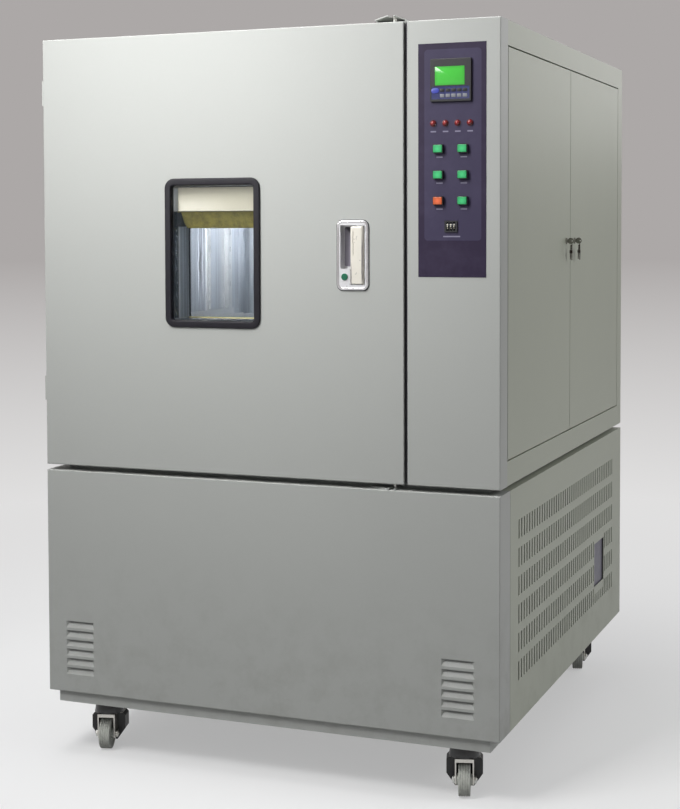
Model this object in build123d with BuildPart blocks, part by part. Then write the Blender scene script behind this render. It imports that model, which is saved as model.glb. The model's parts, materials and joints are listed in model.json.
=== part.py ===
from build123d import *
import os

os.makedirs("parts", exist_ok=True)

# Free-standing environmental test chamber. Millimetres, front towards -Y, right side towards +X,
# floor at Z = 0, origin under the middle of the cabinet.

# Cabinet
width = 1170.0
depth = 1315.0
caster_height = 130.0
plinth_height = 28.0
skirt_z = caster_height + plinth_height
lower_height = 556.5
deck_z = skirt_z + lower_height
recess_height = 13.5
upper_z = deck_z + recess_height
upper_height = 1050.0
roof_z = upper_z + upper_height
sheet = 1.5
bend_radius = 2.5
half_w = width / 2
front_y = -depth / 2
back_y = depth / 2
door_depth = 57.5
body_y = front_y + door_depth

# Plinth and chassis
plinth_half_w = 561.0
plinth_front_y = front_y + 10.0
plinth_back_y = 635.0
channel_width = 40.0
channel_wall = 3.0
pan_sheet = 3.0
post_width = 30.0
front_post_depth = 78.0
rear_post_depth = 60.0
rail_size = 30.0
caster_seat = 100.0
spacer_half_w = 548.0
spacer_front_y = -610.0
spacer_back_y = 625.0

# Electrical column
column_x = 366.5
gap_width = 8.0

# Main door
door_left_x = -half_w
door_right_x = column_x - gap_width
door_back_y = -604.0
door_return = 20.0
plug_back_y = -560.0
seal_width = 20.0
seal_clear = 0.3

# Test space
space_width = 700.0
space_height = 800.0
space_depth = 800.0
space_x = (-half_w + column_x) / 2
space_z = upper_z + upper_height / 2
plenum_depth = 340.0
liner_sheet = 1.2
plug_clear = 10.0

# Window
window_x = -122.5
window_z = skirt_z + 1097.0
window_clear_w = 216.0
window_clear_h = 322.0
rubber_width = 17.0
rubber_radius = 24.0
pane_thickness = 4.0

# Latch
latch_x = 235.2
latch_z = skirt_z + 1093.0
latch_w = 77.2
latch_h = 160.0
latch_radius = 15.0
latch_proud = 4.0
lever_axis_x = 259.0
lever_axis_y = -657.0
lever_length = 132.0
button_x = 216.2
button_z = skirt_z + 1043.5
button_radius = 8.0
bolt_x = 328.0
bolt_y = -630.0
bolt_radius = 4.0
running_gap = 0.05

# Hinges of the main door
hinge_x = -597.0
hinge_y = -602.0
hinge_half = 60.0
hinge_knuckle = 8.0
hinge_pin = 4.0
hinge_heights = (skirt_z + 730.0, skirt_z + 1460.0)

# Side doors of the electrical column
side_rail = 57.0
side_open_front_y = -598.0
side_open_back_y = back_y - side_rail
side_open_bottom = upper_z + side_rail
side_open_top = roof_z - side_rail
leaf_gap = 3.5
leaf_meet_y = 4.0
leaf_depth = 20.0
leaf_pin_inset = 5.5
leaf_pin_x = half_w - 6.0
leaf_pin_radius = 3.0
lock_offset = 44.5
lock_z = skirt_z + 1121.0
lock_radius = 8.0

# Control panel
panel_x = 472.8
panel_z = skirt_z + 1306.0
panel_w = 158.6
panel_h = 522.0
panel_sheet = 0.8
controller_x = 471.3
controller_z = skirt_z + 1484.0
controller_size = 96.0
lamp_xs = (429.2, 457.8, 486.4, 515.0)
lamp_z = skirt_z + 1389.0
lamp_base_radius = 7.4
lamp_dome_radius = 6.2
lamp_stem_radius = 4.0
button_xs = (442.0, 499.0)
button_zs = (skirt_z + 1332.0, skirt_z + 1274.0, skirt_z + 1216.0)
collar_w = 24.0
collar_h = 20.0
collar_rise = 8.5
collar_floor = 1.5
barrel_radius = 8.0
key_w = 20.8
key_h = 16.8
key_rise = 10.5
key_cap = 5.0
stem_radius = 6.0
side_clear = 0.3
stub_length = panel_sheet + key_rise
wheel_unit_x = 471.1
wheel_unit_z = skirt_z + 1158.5
wheel_unit_w = 30.0
wheel_unit_h = 26.0

# Vents
slot_w = 9.0
slot_h = 45.0
slot_pitch = 24.0
row_pitch = 66.6
slot_count = 44
row_count = 6
vent_mid_y = 20.0
vent_top_z = skirt_z + 478.0

# Cut-out over the main breaker
cut_y0 = 306.0
cut_y1 = 428.0
cut_z0 = skirt_z + 125.0
cut_z1 = skirt_z + 291.0

# Casters
caster_x = 472.0
caster_front_y = -556.0
caster_back_y = 585.0
wheel_radius = 37.5
wheel_width = 28.0
fork_outer = 44.0
fork_sheet = 3.0
caster_trail = 26.0
caster_turn = 16.0
fork_top = 88.0
fork_nose = 37.0
hood_outer = 85.0
hood_back = 32.0
king_pin_radius = 6.0
head_foot_radius = 37.0
head_top_radius = 31.0
axle_radius = 5.0


def box_between(x0, x1, y0, y1, z0, z1, mode=Mode.ADD):
    with Locations(((x0 + x1) / 2, (y0 + y1) / 2, (z0 + z1) / 2)):
        Box(abs(x1 - x0), abs(y1 - y0), abs(z1 - z0), mode=mode)


def rod_along_y(x, z, y0, y1, radius, mode=Mode.ADD):
    with Locations((x, (y0 + y1) / 2, z)):
        Cylinder(radius, abs(y1 - y0), rotation=(90, 0, 0), mode=mode)


def rod_along_z(x, y, z0, z1, radius, mode=Mode.ADD):
    with Locations((x, y, (z0 + z1) / 2)):
        Cylinder(radius, abs(z1 - z0), mode=mode)


def rod_along_x(y, z, x0, x1, radius, mode=Mode.ADD):
    with Locations(((x0 + x1) / 2, y, z)):
        Cylinder(radius, abs(x1 - x0), rotation=(0, 90, 0), mode=mode)


def front_plate(x, z, w, h, radius, y0, y1, mode=Mode.ADD):
    with BuildSketch(Plane.XZ.offset(-y0)) as outline:
        with Locations((x, z)):
            RectangleRounded(w, h, radius)
    extrude(outline.sketch, amount=-(y1 - y0), mode=mode)


def save(part, name):
    part.label = name
    export_step(part, "parts/" + name + ".step")


# Welded chassis: plinth channel, floor pan, posts, deck rails and the spacer under the upper body
with BuildPart() as chassis:
    box_between(-plinth_half_w, plinth_half_w, plinth_front_y, plinth_back_y, caster_height, skirt_z)
    inner_x = plinth_half_w - channel_width
    inner_y0 = plinth_front_y + channel_width
    inner_y1 = plinth_back_y - channel_width
    box_between(-inner_x, inner_x, inner_y0, inner_y1, caster_height, skirt_z, Mode.SUBTRACT)
    hollow_x = plinth_half_w - channel_wall
    hollow_y0 = plinth_front_y + channel_wall
    hollow_y1 = plinth_back_y - channel_wall
    hollow_z0 = caster_height + channel_wall
    hollow_z1 = skirt_z - pan_sheet
    box_between(-hollow_x, hollow_x, hollow_y0, hollow_y1, hollow_z0, hollow_z1, Mode.SUBTRACT)
    box_between(-plinth_half_w, plinth_half_w, plinth_front_y, plinth_back_y, hollow_z1, skirt_z)
    for sx in (-1, 1):
        for seat_y in (caster_front_y, caster_back_y):
            seat_x = sx * caster_x
            half = caster_seat / 2
            seat_z1 = hollow_z0 + channel_wall
            box_between(seat_x - half, seat_x + half, seat_y - half, seat_y + half, caster_height, seat_z1)
        post_x0 = sx * (plinth_half_w - post_width)
        post_x1 = sx * plinth_half_w
        front_post_y1 = plinth_front_y + front_post_depth
        box_between(post_x0, post_x1, plinth_front_y, front_post_y1, skirt_z, deck_z)
        box_between(post_x0, post_x1, plinth_back_y - rear_post_depth, plinth_back_y, skirt_z, deck_z)
        box_between(post_x0, post_x1, plinth_front_y, plinth_back_y, deck_z - rail_size, deck_z)
    for rail_y in (plinth_front_y, plinth_back_y - rail_size):
        box_between(-plinth_half_w, plinth_half_w, rail_y, rail_y + rail_size, deck_z - rail_size, deck_z)
    box_between(-plinth_half_w, plinth_half_w, plinth_front_y, plinth_back_y, deck_z - 2, deck_z)
    box_between(-spacer_half_w, spacer_half_w, spacer_front_y, spacer_back_y, deck_z, upper_z)
    spacer_in = 40.0
    box_between(-spacer_half_w + spacer_in, spacer_half_w - spacer_in, spacer_front_y + spacer_in,
                spacer_back_y - spacer_in, deck_z, upper_z, Mode.SUBTRACT)
    rod_along_z(0, 500, skirt_z - pan_sheet, skirt_z, 15, Mode.SUBTRACT)
save(chassis.part, "chassis")

# Lower front panel with wrapped ends and two groups of six inward louvres
wrap_y = front_y + 85.0
louvre_w = 78.0
louvre_h = 17.0
louvre_pitch = 23.4
louvre_top = skirt_z + 179.0
louvre_depth = 7.0
with BuildPart() as lower_front_panel:
    box_between(-half_w, half_w, front_y, wrap_y, skirt_z, deck_z)
    fillet(lower_front_panel.faces().sort_by(Axis.Y)[0].edges(), bend_radius)
    box_between(-half_w + sheet, half_w - sheet, front_y + sheet, wrap_y - sheet,
                skirt_z + sheet, deck_z - sheet, Mode.SUBTRACT)
    box_between(-plinth_half_w, plinth_half_w, plinth_front_y, wrap_y, skirt_z, deck_z, Mode.SUBTRACT)
    for louvre_x in (-495.0, 486.5):
        for i in range(6):
            top = louvre_top - i * louvre_pitch
            with BuildSketch(Plane.XZ.offset(-front_y - sheet)):
                with Locations((louvre_x, top - louvre_h / 2 - 0.6)):
                    Rectangle(louvre_w + 2.4, louvre_h + 1.2)
            with BuildSketch(Plane.XZ.offset(-front_y - louvre_depth - 1.0)):
                with Locations((louvre_x, top - 2.2)):
                    Rectangle(louvre_w - 13, 4.4)
            loft()
            with BuildSketch(Plane.XZ.offset(-front_y)):
                with Locations((louvre_x, top - louvre_h / 2)):
                    Rectangle(louvre_w, louvre_h)
            with BuildSketch(Plane.XZ.offset(-front_y - louvre_depth)):
                with Locations((louvre_x, top - 1.5)):
                    Rectangle(louvre_w - 16, 3)
            loft(mode=Mode.SUBTRACT)
save(lower_front_panel.part, "lower_front_panel")

# Lower side panels: folded pans with rows of upright vent slots
side_y0 = wrap_y + sheet
flange_x = plinth_half_w


def vent_side(sign):
    with BuildPart() as panel:
        box_between(sign * flange_x, sign * half_w, side_y0, back_y, skirt_z, deck_z)
        box_between(sign * flange_x, sign * (half_w - sheet), side_y0 + sheet, back_y - sheet,
                    skirt_z + sheet, deck_z - sheet, Mode.SUBTRACT)
        rows_mid = vent_top_z - slot_h / 2 - row_pitch * (row_count - 1) / 2
        grille_w = slot_count * slot_pitch + 20
        grille_h = row_count * row_pitch + 20
        box_between(sign * (half_w - sheet), sign * half_w, vent_mid_y - grille_w / 2, vent_mid_y + grille_w / 2,
                    rows_mid - grille_h / 2, rows_mid + grille_h / 2, Mode.SUBTRACT)
        with BuildSketch(Plane.YZ.offset(sign * half_w)):
            with Locations((vent_mid_y, rows_mid)):
                Rectangle(grille_w, grille_h)
                with GridLocations(slot_pitch, row_pitch, slot_count, row_count):
                    Rectangle(slot_w, slot_h, mode=Mode.SUBTRACT)
        extrude(amount=-sign * sheet)
        if sign > 0:
            box_between(half_w - sheet - 1, half_w - sheet, cut_y0 - 8, cut_y1 + 8, cut_z0 - 8, cut_z1 + 8)
            box_between(half_w - sheet - 1, half_w, cut_y0, cut_y1, cut_z0, cut_z1, Mode.SUBTRACT)
    return panel.part


save(vent_side(1), "lower_right_panel")
save(vent_side(-1), "lower_left_panel")

# Lower back panel with four vent rows, drain stub and supply gland hole
gland_x = 420.0
gland_z = skirt_z + 90.0
drain_x = -380.0
drain_z = skirt_z + 50.0
with BuildPart() as lower_back_panel:
    inner_w = plinth_half_w - sheet
    box_between(-inner_w, inner_w, plinth_back_y, back_y, skirt_z, deck_z)
    box_between(-inner_w + sheet, inner_w - sheet, plinth_back_y, back_y - sheet,
                skirt_z + sheet, deck_z - sheet, Mode.SUBTRACT)
    with BuildSketch(Plane.XZ.offset(-back_y)):
        with Locations((0, skirt_z + 370)):
            with GridLocations(26, row_pitch, 28, 2):
                Rectangle(slot_w, slot_h)
    extrude(amount=sheet, mode=Mode.SUBTRACT)
    rod_along_y(gland_x, gland_z, back_y - sheet, back_y + stub_length, 18)
    rod_along_y(gland_x, gland_z, back_y - sheet, back_y + stub_length, 11, Mode.SUBTRACT)
    rod_along_y(drain_x, drain_z, back_y - sheet, back_y + stub_length, 13)
    rod_along_y(drain_x, drain_z, back_y - sheet, back_y + stub_length, 10, Mode.SUBTRACT)
save(lower_back_panel.part, "lower_back_panel")

# Upper body wrapper: left wall, roof, floor, back and the wall beside the electrical column
with BuildPart() as outer_shell:
    box_between(-half_w, half_w, body_y, back_y, upper_z, roof_z)
    box_between(-half_w + sheet, column_x - sheet, body_y, back_y - sheet,
                upper_z + sheet, roof_z - sheet, Mode.SUBTRACT)
    box_between(column_x, half_w, body_y, back_y - sheet, upper_z + sheet, roof_z - sheet, Mode.SUBTRACT)
    box_between(half_w - sheet, half_w, body_y, back_y, upper_z, roof_z, Mode.SUBTRACT)
    with BuildSketch(Plane.XZ.offset(-back_y)):
        with Locations((475, skirt_z + 1370)):
            with GridLocations(22, 60, 6, 3):
                Rectangle(slot_w, slot_h)
    extrude(amount=sheet, mode=Mode.SUBTRACT)
save(outer_shell.part, "outer_shell")

space_x0 = space_x - space_width / 2
space_x1 = space_x + space_width / 2
space_z0 = space_z - space_height / 2
space_z1 = space_z + space_height / 2
space_y1 = body_y + space_depth
plenum_y1 = space_y1 + plenum_depth
frame_x0 = -half_w + sheet
frame_x1 = column_x - sheet
frame_z0 = upper_z + sheet
frame_z1 = roof_z - sheet
motor_x = space_x
motor_z = space_z + 210.0
motor_radius = 70.0
shaft_radius = 7.0

# Stainless inner tank with its front flange; a sleeve lets the fan shaft through the back
with BuildPart() as liner:
    box_between(space_x0 - liner_sheet, space_x1 + liner_sheet, body_y, plenum_y1 + liner_sheet,
                space_z0 - liner_sheet, space_z1 + liner_sheet)
    box_between(frame_x0, frame_x1, body_y, body_y + liner_sheet, frame_z0, frame_z1)
    box_between(space_x0, space_x1, body_y, plenum_y1, space_z0, space_z1, Mode.SUBTRACT)
    rod_along_y(motor_x, motor_z, plenum_y1, plenum_y1 + liner_sheet, 14, Mode.SUBTRACT)
save(liner.part, "liner")

# Rigid foam between wrapper and tank, with the motor pocket behind the fan
with BuildPart() as insulation:
    foam_y0 = body_y + liner_sheet
    box_between(frame_x0, frame_x1, foam_y0, back_y - sheet, frame_z0, frame_z1)
    box_between(space_x0 - liner_sheet, space_x1 + liner_sheet, foam_y0, plenum_y1 + liner_sheet,
                space_z0 - liner_sheet, space_z1 + liner_sheet, Mode.SUBTRACT)
    rod_along_y(motor_x, motor_z, plenum_y1 + 31.2, back_y - sheet, motor_radius, Mode.SUBTRACT)
    rod_along_y(motor_x, motor_z, plenum_y1, plenum_y1 + 31.2, 14, Mode.SUBTRACT)
save(insulation.part, "insulation")

# Fan motor in its pocket
motor_y0 = plenum_y1 + 31.2
with BuildPart() as fan_motor:
    rod_along_y(motor_x, motor_z, motor_y0, motor_y0 + 4, motor_radius)
    rod_along_y(motor_x, motor_z, motor_y0 + 4, back_y - sheet - 4, 55)
    rod_along_y(motor_x, motor_z, motor_y0, motor_y0 + 30, shaft_radius + running_gap, Mode.SUBTRACT)
save(fan_motor.part, "fan_motor")

# Circulation fan: hub, back disc, forward blades and the shaft through the wall
fan_y1 = plenum_y1 - 40.0
fan_y0 = fan_y1 - 90.0
fan_radius = 130.0
with BuildPart() as circulation_fan:
    rod_along_y(motor_x, motor_z, fan_y0 + 20, motor_y0 + 25, shaft_radius)
    rod_along_y(motor_x, motor_z, fan_y0 + 30, fan_y1, 22)
    rod_along_y(motor_x, motor_z, fan_y1 - 3, fan_y1, fan_radius)
    with BuildSketch(Plane.XZ.offset(-fan_y0)):
        with Locations((motor_x, motor_z)):
            with PolarLocations(fan_radius - 18, 18):
                Rectangle(30, 3, rotation=35)
    extrude(amount=-(fan_y1 - fan_y0))
    with BuildSketch(Plane.XZ.offset(-fan_y0)):
        with Locations((motor_x, motor_z)):
            Circle(fan_radius)
            Circle(fan_radius - 24, mode=Mode.SUBTRACT)
    extrude(amount=-3)
save(circulation_fan.part, "circulation_fan")

# Air wall between test space and plenum: intake ring low, outlet slots high
with BuildPart() as rear_baffle:
    box_between(space_x0, space_x1, space_y1, space_y1 + liner_sheet, space_z0 + 60, space_z1 - 70)
    box_between(space_x0, space_x1, space_y1, space_y1 + 25, space_z0 + 58, space_z0 + 60)
    box_between(space_x0, space_x1, space_y1, space_y1 + 25, space_z1 - 70, space_z1 - 68)
    box_between(space_x0, space_x0 + 1.2, space_y1, space_y1 + 25, space_z0 + 58, space_z1 - 68)
    box_between(space_x1 - 1.2, space_x1, space_y1, space_y1 + 25, space_z0 + 58, space_z1 - 68)
    with BuildSketch(Plane.XZ.offset(-space_y1)):
        with Locations((motor_x, motor_z)):
            for ring in (30, 52, 74, 96):
                with PolarLocations(ring, int(ring / 6)):
                    Rectangle(9, 9)
    extrude(amount=-liner_sheet, mode=Mode.SUBTRACT)
save(rear_baffle.part, "rear_baffle")

# Shelf ladders on both walls of the test space: two slotted uprights joined by a runner
standard_ys = (-520.0, 120.0)
shelf_z = skirt_z + 915.0
wire = 3.0
with BuildPart() as shelf_ladders:
    for sx, wall_x in ((1, space_x0), (-1, space_x1)):
        for y in standard_ys:
            box_between(wall_x, wall_x + sx * 12, y - 12, y + 12, space_z0, space_z1)
            for k in range(15):
                z = space_z0 + 50 + k * 50
                box_between(wall_x + sx * 9, wall_x + sx * 12, y - 3, y + 3, z - 8, z + 8, Mode.SUBTRACT)
        x0 = wall_x + sx * 12
        box_between(x0, x0 + sx * 1.5, -540, 140, shelf_z - 14, shelf_z + 10)
        box_between(x0, x0 + sx * 16, -540, 140, shelf_z - 14, shelf_z - 12.5)
save(shelf_ladders.part, "shelf_ladders")

# Pull-out wire shelf lying on the runners
shelf_x0 = space_x0 + 17.0
shelf_x1 = space_x1 - 17.0
with BuildPart() as shelf:
    for x in (shelf_x0 + wire, shelf_x1 - wire):
        box_between(x - wire, x + wire, -535, 130, shelf_z - 12.5, shelf_z - 6.5)
    for y in (-532.0, -200.0, 127.0):
        box_between(shelf_x0, shelf_x1, y - wire, y + wire, shelf_z - 12.5, shelf_z - 6.5)
    for k in range(21):
        x = shelf_x0 + 30 + k * (shelf_x1 - shelf_x0 - 60) / 20
        box_between(x - 1.5, x + 1.5, -535, 130, shelf_z - 6.5, shelf_z - 3.5)
save(shelf.part, "shelf")

# Compressor on the floor pan
comp_x = -220.0
comp_y = 250.0
with BuildPart() as compressor:
    box_between(comp_x - 120, comp_x + 120, comp_y - 80, comp_y + 80, skirt_z + 14, skirt_z + 18)
    for dx in (-100, 100):
        for dy in (-62, 62):
            rod_along_z(comp_x + dx, comp_y + dy, skirt_z, skirt_z + 14, 14)
    with Locations((comp_x, comp_y, skirt_z + 18 + 120)):
        Cylinder(95, 240)
    fillet(compressor.faces().sort_by(Axis.Z)[-1].edges(), 45)
    box_between(comp_x + 85, comp_x + 125, comp_y - 35, comp_y + 35, skirt_z + 110, skirt_z + 190)
save(compressor.part, "compressor")

# Condenser block with fan shroud, and its axial fan
cond_x = 330.0
cond_y = 200.0
cond_w = 360.0
cond_h = 380.0
cond_z = skirt_z + cond_h / 2
with BuildPart() as condenser:
    box_between(cond_x - 50, cond_x + 50, cond_y - cond_w / 2, cond_y + cond_w / 2, skirt_z, skirt_z + cond_h)
    box_between(cond_x - 110, cond_x - 50, cond_y - cond_w / 2, cond_y + cond_w / 2, skirt_z, skirt_z + cond_h)
    rod_along_x(cond_y, cond_z, cond_x - 110, cond_x - 50, 155, Mode.SUBTRACT)
    box_between(cond_x - 90, cond_x - 84, cond_y - 160, cond_y + 160, cond_z - 10, cond_z + 10)
    rod_along_x(cond_y, cond_z, cond_x - 110, cond_x - 72, 32)
    rod_along_x(cond_y, cond_z, cond_x - 72.5, cond_x - 60, 5 + running_gap, Mode.SUBTRACT)
    rod_along_x(cond_y, cond_z, cond_x - 84, cond_x - 72, 5 + running_gap, Mode.SUBTRACT)
with BuildPart() as condenser_fan:
    rod_along_x(cond_y, cond_z, cond_x - 83, cond_x - 54, 5)
    rod_along_x(cond_y, cond_z, cond_x - 71, cond_x - 54, 28)
    for k in range(5):
        angle = k * 72
        with Locations(Location((cond_x - 62.5, cond_y, cond_z), (angle, 0, 0))):
            with Locations(Location((0, 0, 88), (0, 0, 25))):
                Box(3, 36, 126)
save(condenser.part, "condenser")
save(condenser_fan.part, "condenser_fan")

# Front and side cover of the electrical column, with the control cut-outs
with BuildPart() as column_front:
    box_between(column_x, half_w, front_y, side_open_front_y, upper_z, roof_z)
    fillet(column_front.faces().sort_by(Axis.Y)[0].edges(), bend_radius)
    box_between(column_x + sheet, half_w - sheet, front_y + sheet, side_open_front_y,
                upper_z + sheet, roof_z - sheet, Mode.SUBTRACT)
    box_between(column_x, half_w - sheet, body_y, side_open_front_y, upper_z, roof_z, Mode.SUBTRACT)
    cut = controller_size / 2 - 2
    box_between(controller_x - cut, controller_x + cut, front_y, front_y + sheet,
                controller_z - cut, controller_z + cut, Mode.SUBTRACT)
    for x in lamp_xs:
        rod_along_y(x, lamp_z, front_y, front_y + sheet, 4.2, Mode.SUBTRACT)
    for x in button_xs:
        for z in button_zs:
            rod_along_y(x, z, front_y, front_y + sheet, barrel_radius + side_clear, Mode.SUBTRACT)
    unit_w = wheel_unit_w / 2 - 2
    unit_h = wheel_unit_h / 2 - 2
    box_between(wheel_unit_x - unit_w, wheel_unit_x + unit_w, front_y, front_y + sheet,
                wheel_unit_z - unit_h, wheel_unit_z + unit_h, Mode.SUBTRACT)
save(column_front.part, "column_front")

# Frame around the side doors with centre strip and hinge pins
with BuildPart() as side_frame:
    frame_in_x = 560.0
    box_between(frame_in_x, half_w, side_open_front_y, back_y, upper_z, roof_z)
    box_between(frame_in_x, half_w - sheet, side_open_front_y, back_y - sheet,
                upper_z + sheet, roof_z - sheet, Mode.SUBTRACT)
    box_between(frame_in_x, half_w, side_open_front_y, side_open_back_y,
                side_open_bottom, side_open_top, Mode.SUBTRACT)
    box_between(frame_in_x, half_w, side_open_front_y, back_y, upper_z, upper_z + sheet, Mode.SUBTRACT)
    box_between(frame_in_x, half_w, side_open_front_y, back_y, roof_z - sheet, roof_z, Mode.SUBTRACT)
    box_between(frame_in_x, half_w, back_y - sheet, back_y, upper_z, roof_z, Mode.SUBTRACT)
    edge_y1 = side_open_back_y + sheet
    box_between(frame_in_x, half_w, side_open_front_y, edge_y1, side_open_top, side_open_top + sheet)
    box_between(frame_in_x, half_w, side_open_front_y, edge_y1, side_open_bottom - sheet, side_open_bottom)
    box_between(frame_in_x, half_w, side_open_back_y, edge_y1, side_open_bottom - sheet, side_open_top + sheet)
    box_between(frame_in_x - 3, frame_in_x, leaf_meet_y - 22, leaf_meet_y + 22, upper_z + sheet, roof_z - sheet)
    box_between(frame_in_x - 3, frame_in_x, side_open_front_y, leaf_meet_y, side_open_top, side_open_top + 30)
    box_between(frame_in_x - 3, frame_in_x, leaf_meet_y, side_open_back_y, side_open_top, side_open_top + 30)
    box_between(frame_in_x - 3, frame_in_x, side_open_front_y, side_open_back_y,
                side_open_bottom - 30, side_open_bottom)
    for pin_y in (side_open_front_y + leaf_gap + leaf_pin_inset, side_open_back_y - leaf_gap - leaf_pin_inset):
        rod_along_z(leaf_pin_x, pin_y, side_open_top - 10, side_open_top + sheet, leaf_pin_radius)
        rod_along_z(leaf_pin_x, pin_y, side_open_bottom - sheet, side_open_bottom + 10, leaf_pin_radius)
save(side_frame.part, "side_frame")


def side_leaf(y0, y1, pin_y, lock_y):
    z0 = side_open_bottom + leaf_gap
    z1 = side_open_top - leaf_gap
    with BuildPart() as leaf:
        box_between(half_w - sheet - leaf_depth, half_w, y0, y1, z0, z1)
        box_between(half_w - sheet - leaf_depth, half_w - sheet, y0 + sheet, y1 - sheet,
                    z0 + sheet, z1 - sheet, Mode.SUBTRACT)
        rod_along_z(leaf_pin_x, pin_y, z0, z1, leaf_pin_radius + running_gap, Mode.SUBTRACT)
        rod_along_x(lock_y, lock_z, half_w - sheet - 16, half_w - sheet, 12)
        rod_along_x(lock_y, lock_z, half_w - sheet - 16, half_w, lock_radius + running_gap, Mode.SUBTRACT)
    return leaf.part


pin_front_y = side_open_front_y + leaf_gap + leaf_pin_inset
pin_back_y = side_open_back_y - leaf_gap - leaf_pin_inset
save(side_leaf(side_open_front_y + leaf_gap, leaf_meet_y - 1.5, pin_front_y, leaf_meet_y - lock_offset),
     "side_door_front")
save(side_leaf(leaf_meet_y + 1.5, side_open_back_y - leaf_gap, pin_back_y, leaf_meet_y + lock_offset),
     "side_door_rear")


def cam_lock(lock_y):
    with BuildPart() as lock:
        rod_along_x(lock_y, lock_z, 548, half_w + 3, lock_radius)
        box_between(549, 552, lock_y - 9, lock_y + 9, lock_z - 50, lock_z + 6)
        box_between(half_w + 3, half_w + 7, lock_y - 1, lock_y + 1, lock_z - 4, lock_z + 4)
        with BuildSketch(Plane.XZ.offset(-lock_y + 1)):
            with Locations((half_w + 12, lock_z)):
                Circle(8)
                with Locations((4, 0)):
                    Circle(1.8, mode=Mode.SUBTRACT)
        extrude(amount=-2)
        box_between(half_w + 14, half_w + 16, lock_y - 1, lock_y + 1, lock_z - 50, lock_z - 5)
    return lock.part


save(cam_lock(leaf_meet_y - lock_offset), "side_lock_front")
save(cam_lock(leaf_meet_y + lock_offset), "side_lock_rear")

# Outer pan of the main door
mech_x0 = 200.0
mech_x1 = 270.0
mech_z0 = latch_z - 75.0
mech_z1 = latch_z + 75.0
window_hole_w = window_clear_w + 16.0
window_hole_h = window_clear_h + 16.0
with BuildPart() as door_shell:
    box_between(door_left_x, door_right_x, front_y, door_back_y, upper_z, roof_z)
    fillet(door_shell.faces().sort_by(Axis.Y)[0].edges(), bend_radius)
    box_between(door_left_x + sheet, door_right_x - sheet, front_y + sheet, door_back_y - sheet,
                upper_z + sheet, roof_z - sheet, Mode.SUBTRACT)
    box_between(door_left_x + door_return, door_right_x - door_return, door_back_y - sheet, door_back_y,
                upper_z + door_return, roof_z - door_return, Mode.SUBTRACT)
    front_plate(window_x, window_z, window_hole_w, window_hole_h, 16, front_y, front_y + sheet, Mode.SUBTRACT)
    box_between(mech_x0, mech_x1, front_y, front_y + sheet, mech_z0, mech_z1, Mode.SUBTRACT)
    rod_along_z(bolt_x, bolt_y, upper_z, roof_z, bolt_radius + 1, Mode.SUBTRACT)
save(door_shell.part, "door_shell")

# Foamed core and inner plug of the main door
with BuildPart() as door_plug:
    box_between(door_left_x + sheet, door_right_x - sheet, front_y + sheet, door_back_y - sheet,
                upper_z + sheet, roof_z - sheet)
    box_between(door_left_x + door_return, door_right_x - door_return, door_back_y - sheet, door_back_y,
                upper_z + door_return, roof_z - door_return)
    box_between(space_x0 + plug_clear, space_x1 - plug_clear, door_back_y, plug_back_y,
                space_z0 + plug_clear, space_z1 - plug_clear)
    fillet(door_plug.faces().sort_by(Axis.Y)[-1].edges(), 6)
    front_plate(window_x, window_z, window_clear_w, window_clear_h, 8, front_y, plug_back_y, Mode.SUBTRACT)
    front_plate(window_x, window_z, window_hole_w, window_hole_h, 16, front_y, front_y + 10, Mode.SUBTRACT)
    front_plate(window_x, window_z, 260, 366, 12, plug_back_y - 6, plug_back_y, Mode.SUBTRACT)
    box_between(mech_x0, mech_x1, front_y, -625, mech_z0, mech_z1, Mode.SUBTRACT)
    box_between(mech_x1, bolt_x + 9, bolt_y - 9, bolt_y + 9, latch_z - 40, latch_z + 40, Mode.SUBTRACT)
    rod_along_z(bolt_x, bolt_y, upper_z, roof_z, bolt_radius + 1, Mode.SUBTRACT)
save(door_plug.part, "door_plug")

# Black rubber surround that holds the outer pane
core_w = window_hole_w - 0.6
core_h = window_hole_h - 0.6
pane_w = window_clear_w + 8.0
pane_h = window_clear_h + 8.0
pane_y0 = front_y + 3.5
with BuildPart() as window_frame:
    front_plate(window_x, window_z, window_clear_w + 2 * rubber_width, window_clear_h + 2 * rubber_width,
                rubber_radius, front_y - 3, front_y)
    fillet(window_frame.faces().sort_by(Axis.Y)[0].edges(), 2)
    front_plate(window_x, window_z, core_w, core_h, 15.7, front_y, front_y + 10)
    front_plate(window_x, window_z, window_clear_w, window_clear_h, 9, front_y - 3, front_y + 10, Mode.SUBTRACT)
    front_plate(window_x, window_z, pane_w, pane_h, 12, pane_y0, pane_y0 + pane_thickness, Mode.SUBTRACT)
save(window_frame.part, "window_frame")

# Outer and inner panes
with BuildPart() as window_panes:
    front_plate(window_x, window_z, pane_w, pane_h, 12, pane_y0, pane_y0 + pane_thickness)
    front_plate(window_x, window_z, 260, 366, 12, plug_back_y - 6, plug_back_y - 1)
save(window_panes.part, "window_panes")

# Silicone seal on the door's shoulder
with BuildPart() as door_seal:
    seal_y1 = body_y - seal_clear
    outer_w = space_width + 110.0
    outer_h = space_height + 110.0
    front_plate(space_x, space_z, outer_w, outer_h, 30, door_back_y, seal_y1)
    front_plate(space_x, space_z, outer_w - 2 * seal_width, outer_h - 2 * seal_width, 12,
                door_back_y, seal_y1, Mode.SUBTRACT)
save(door_seal.part, "door_seal")

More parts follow.
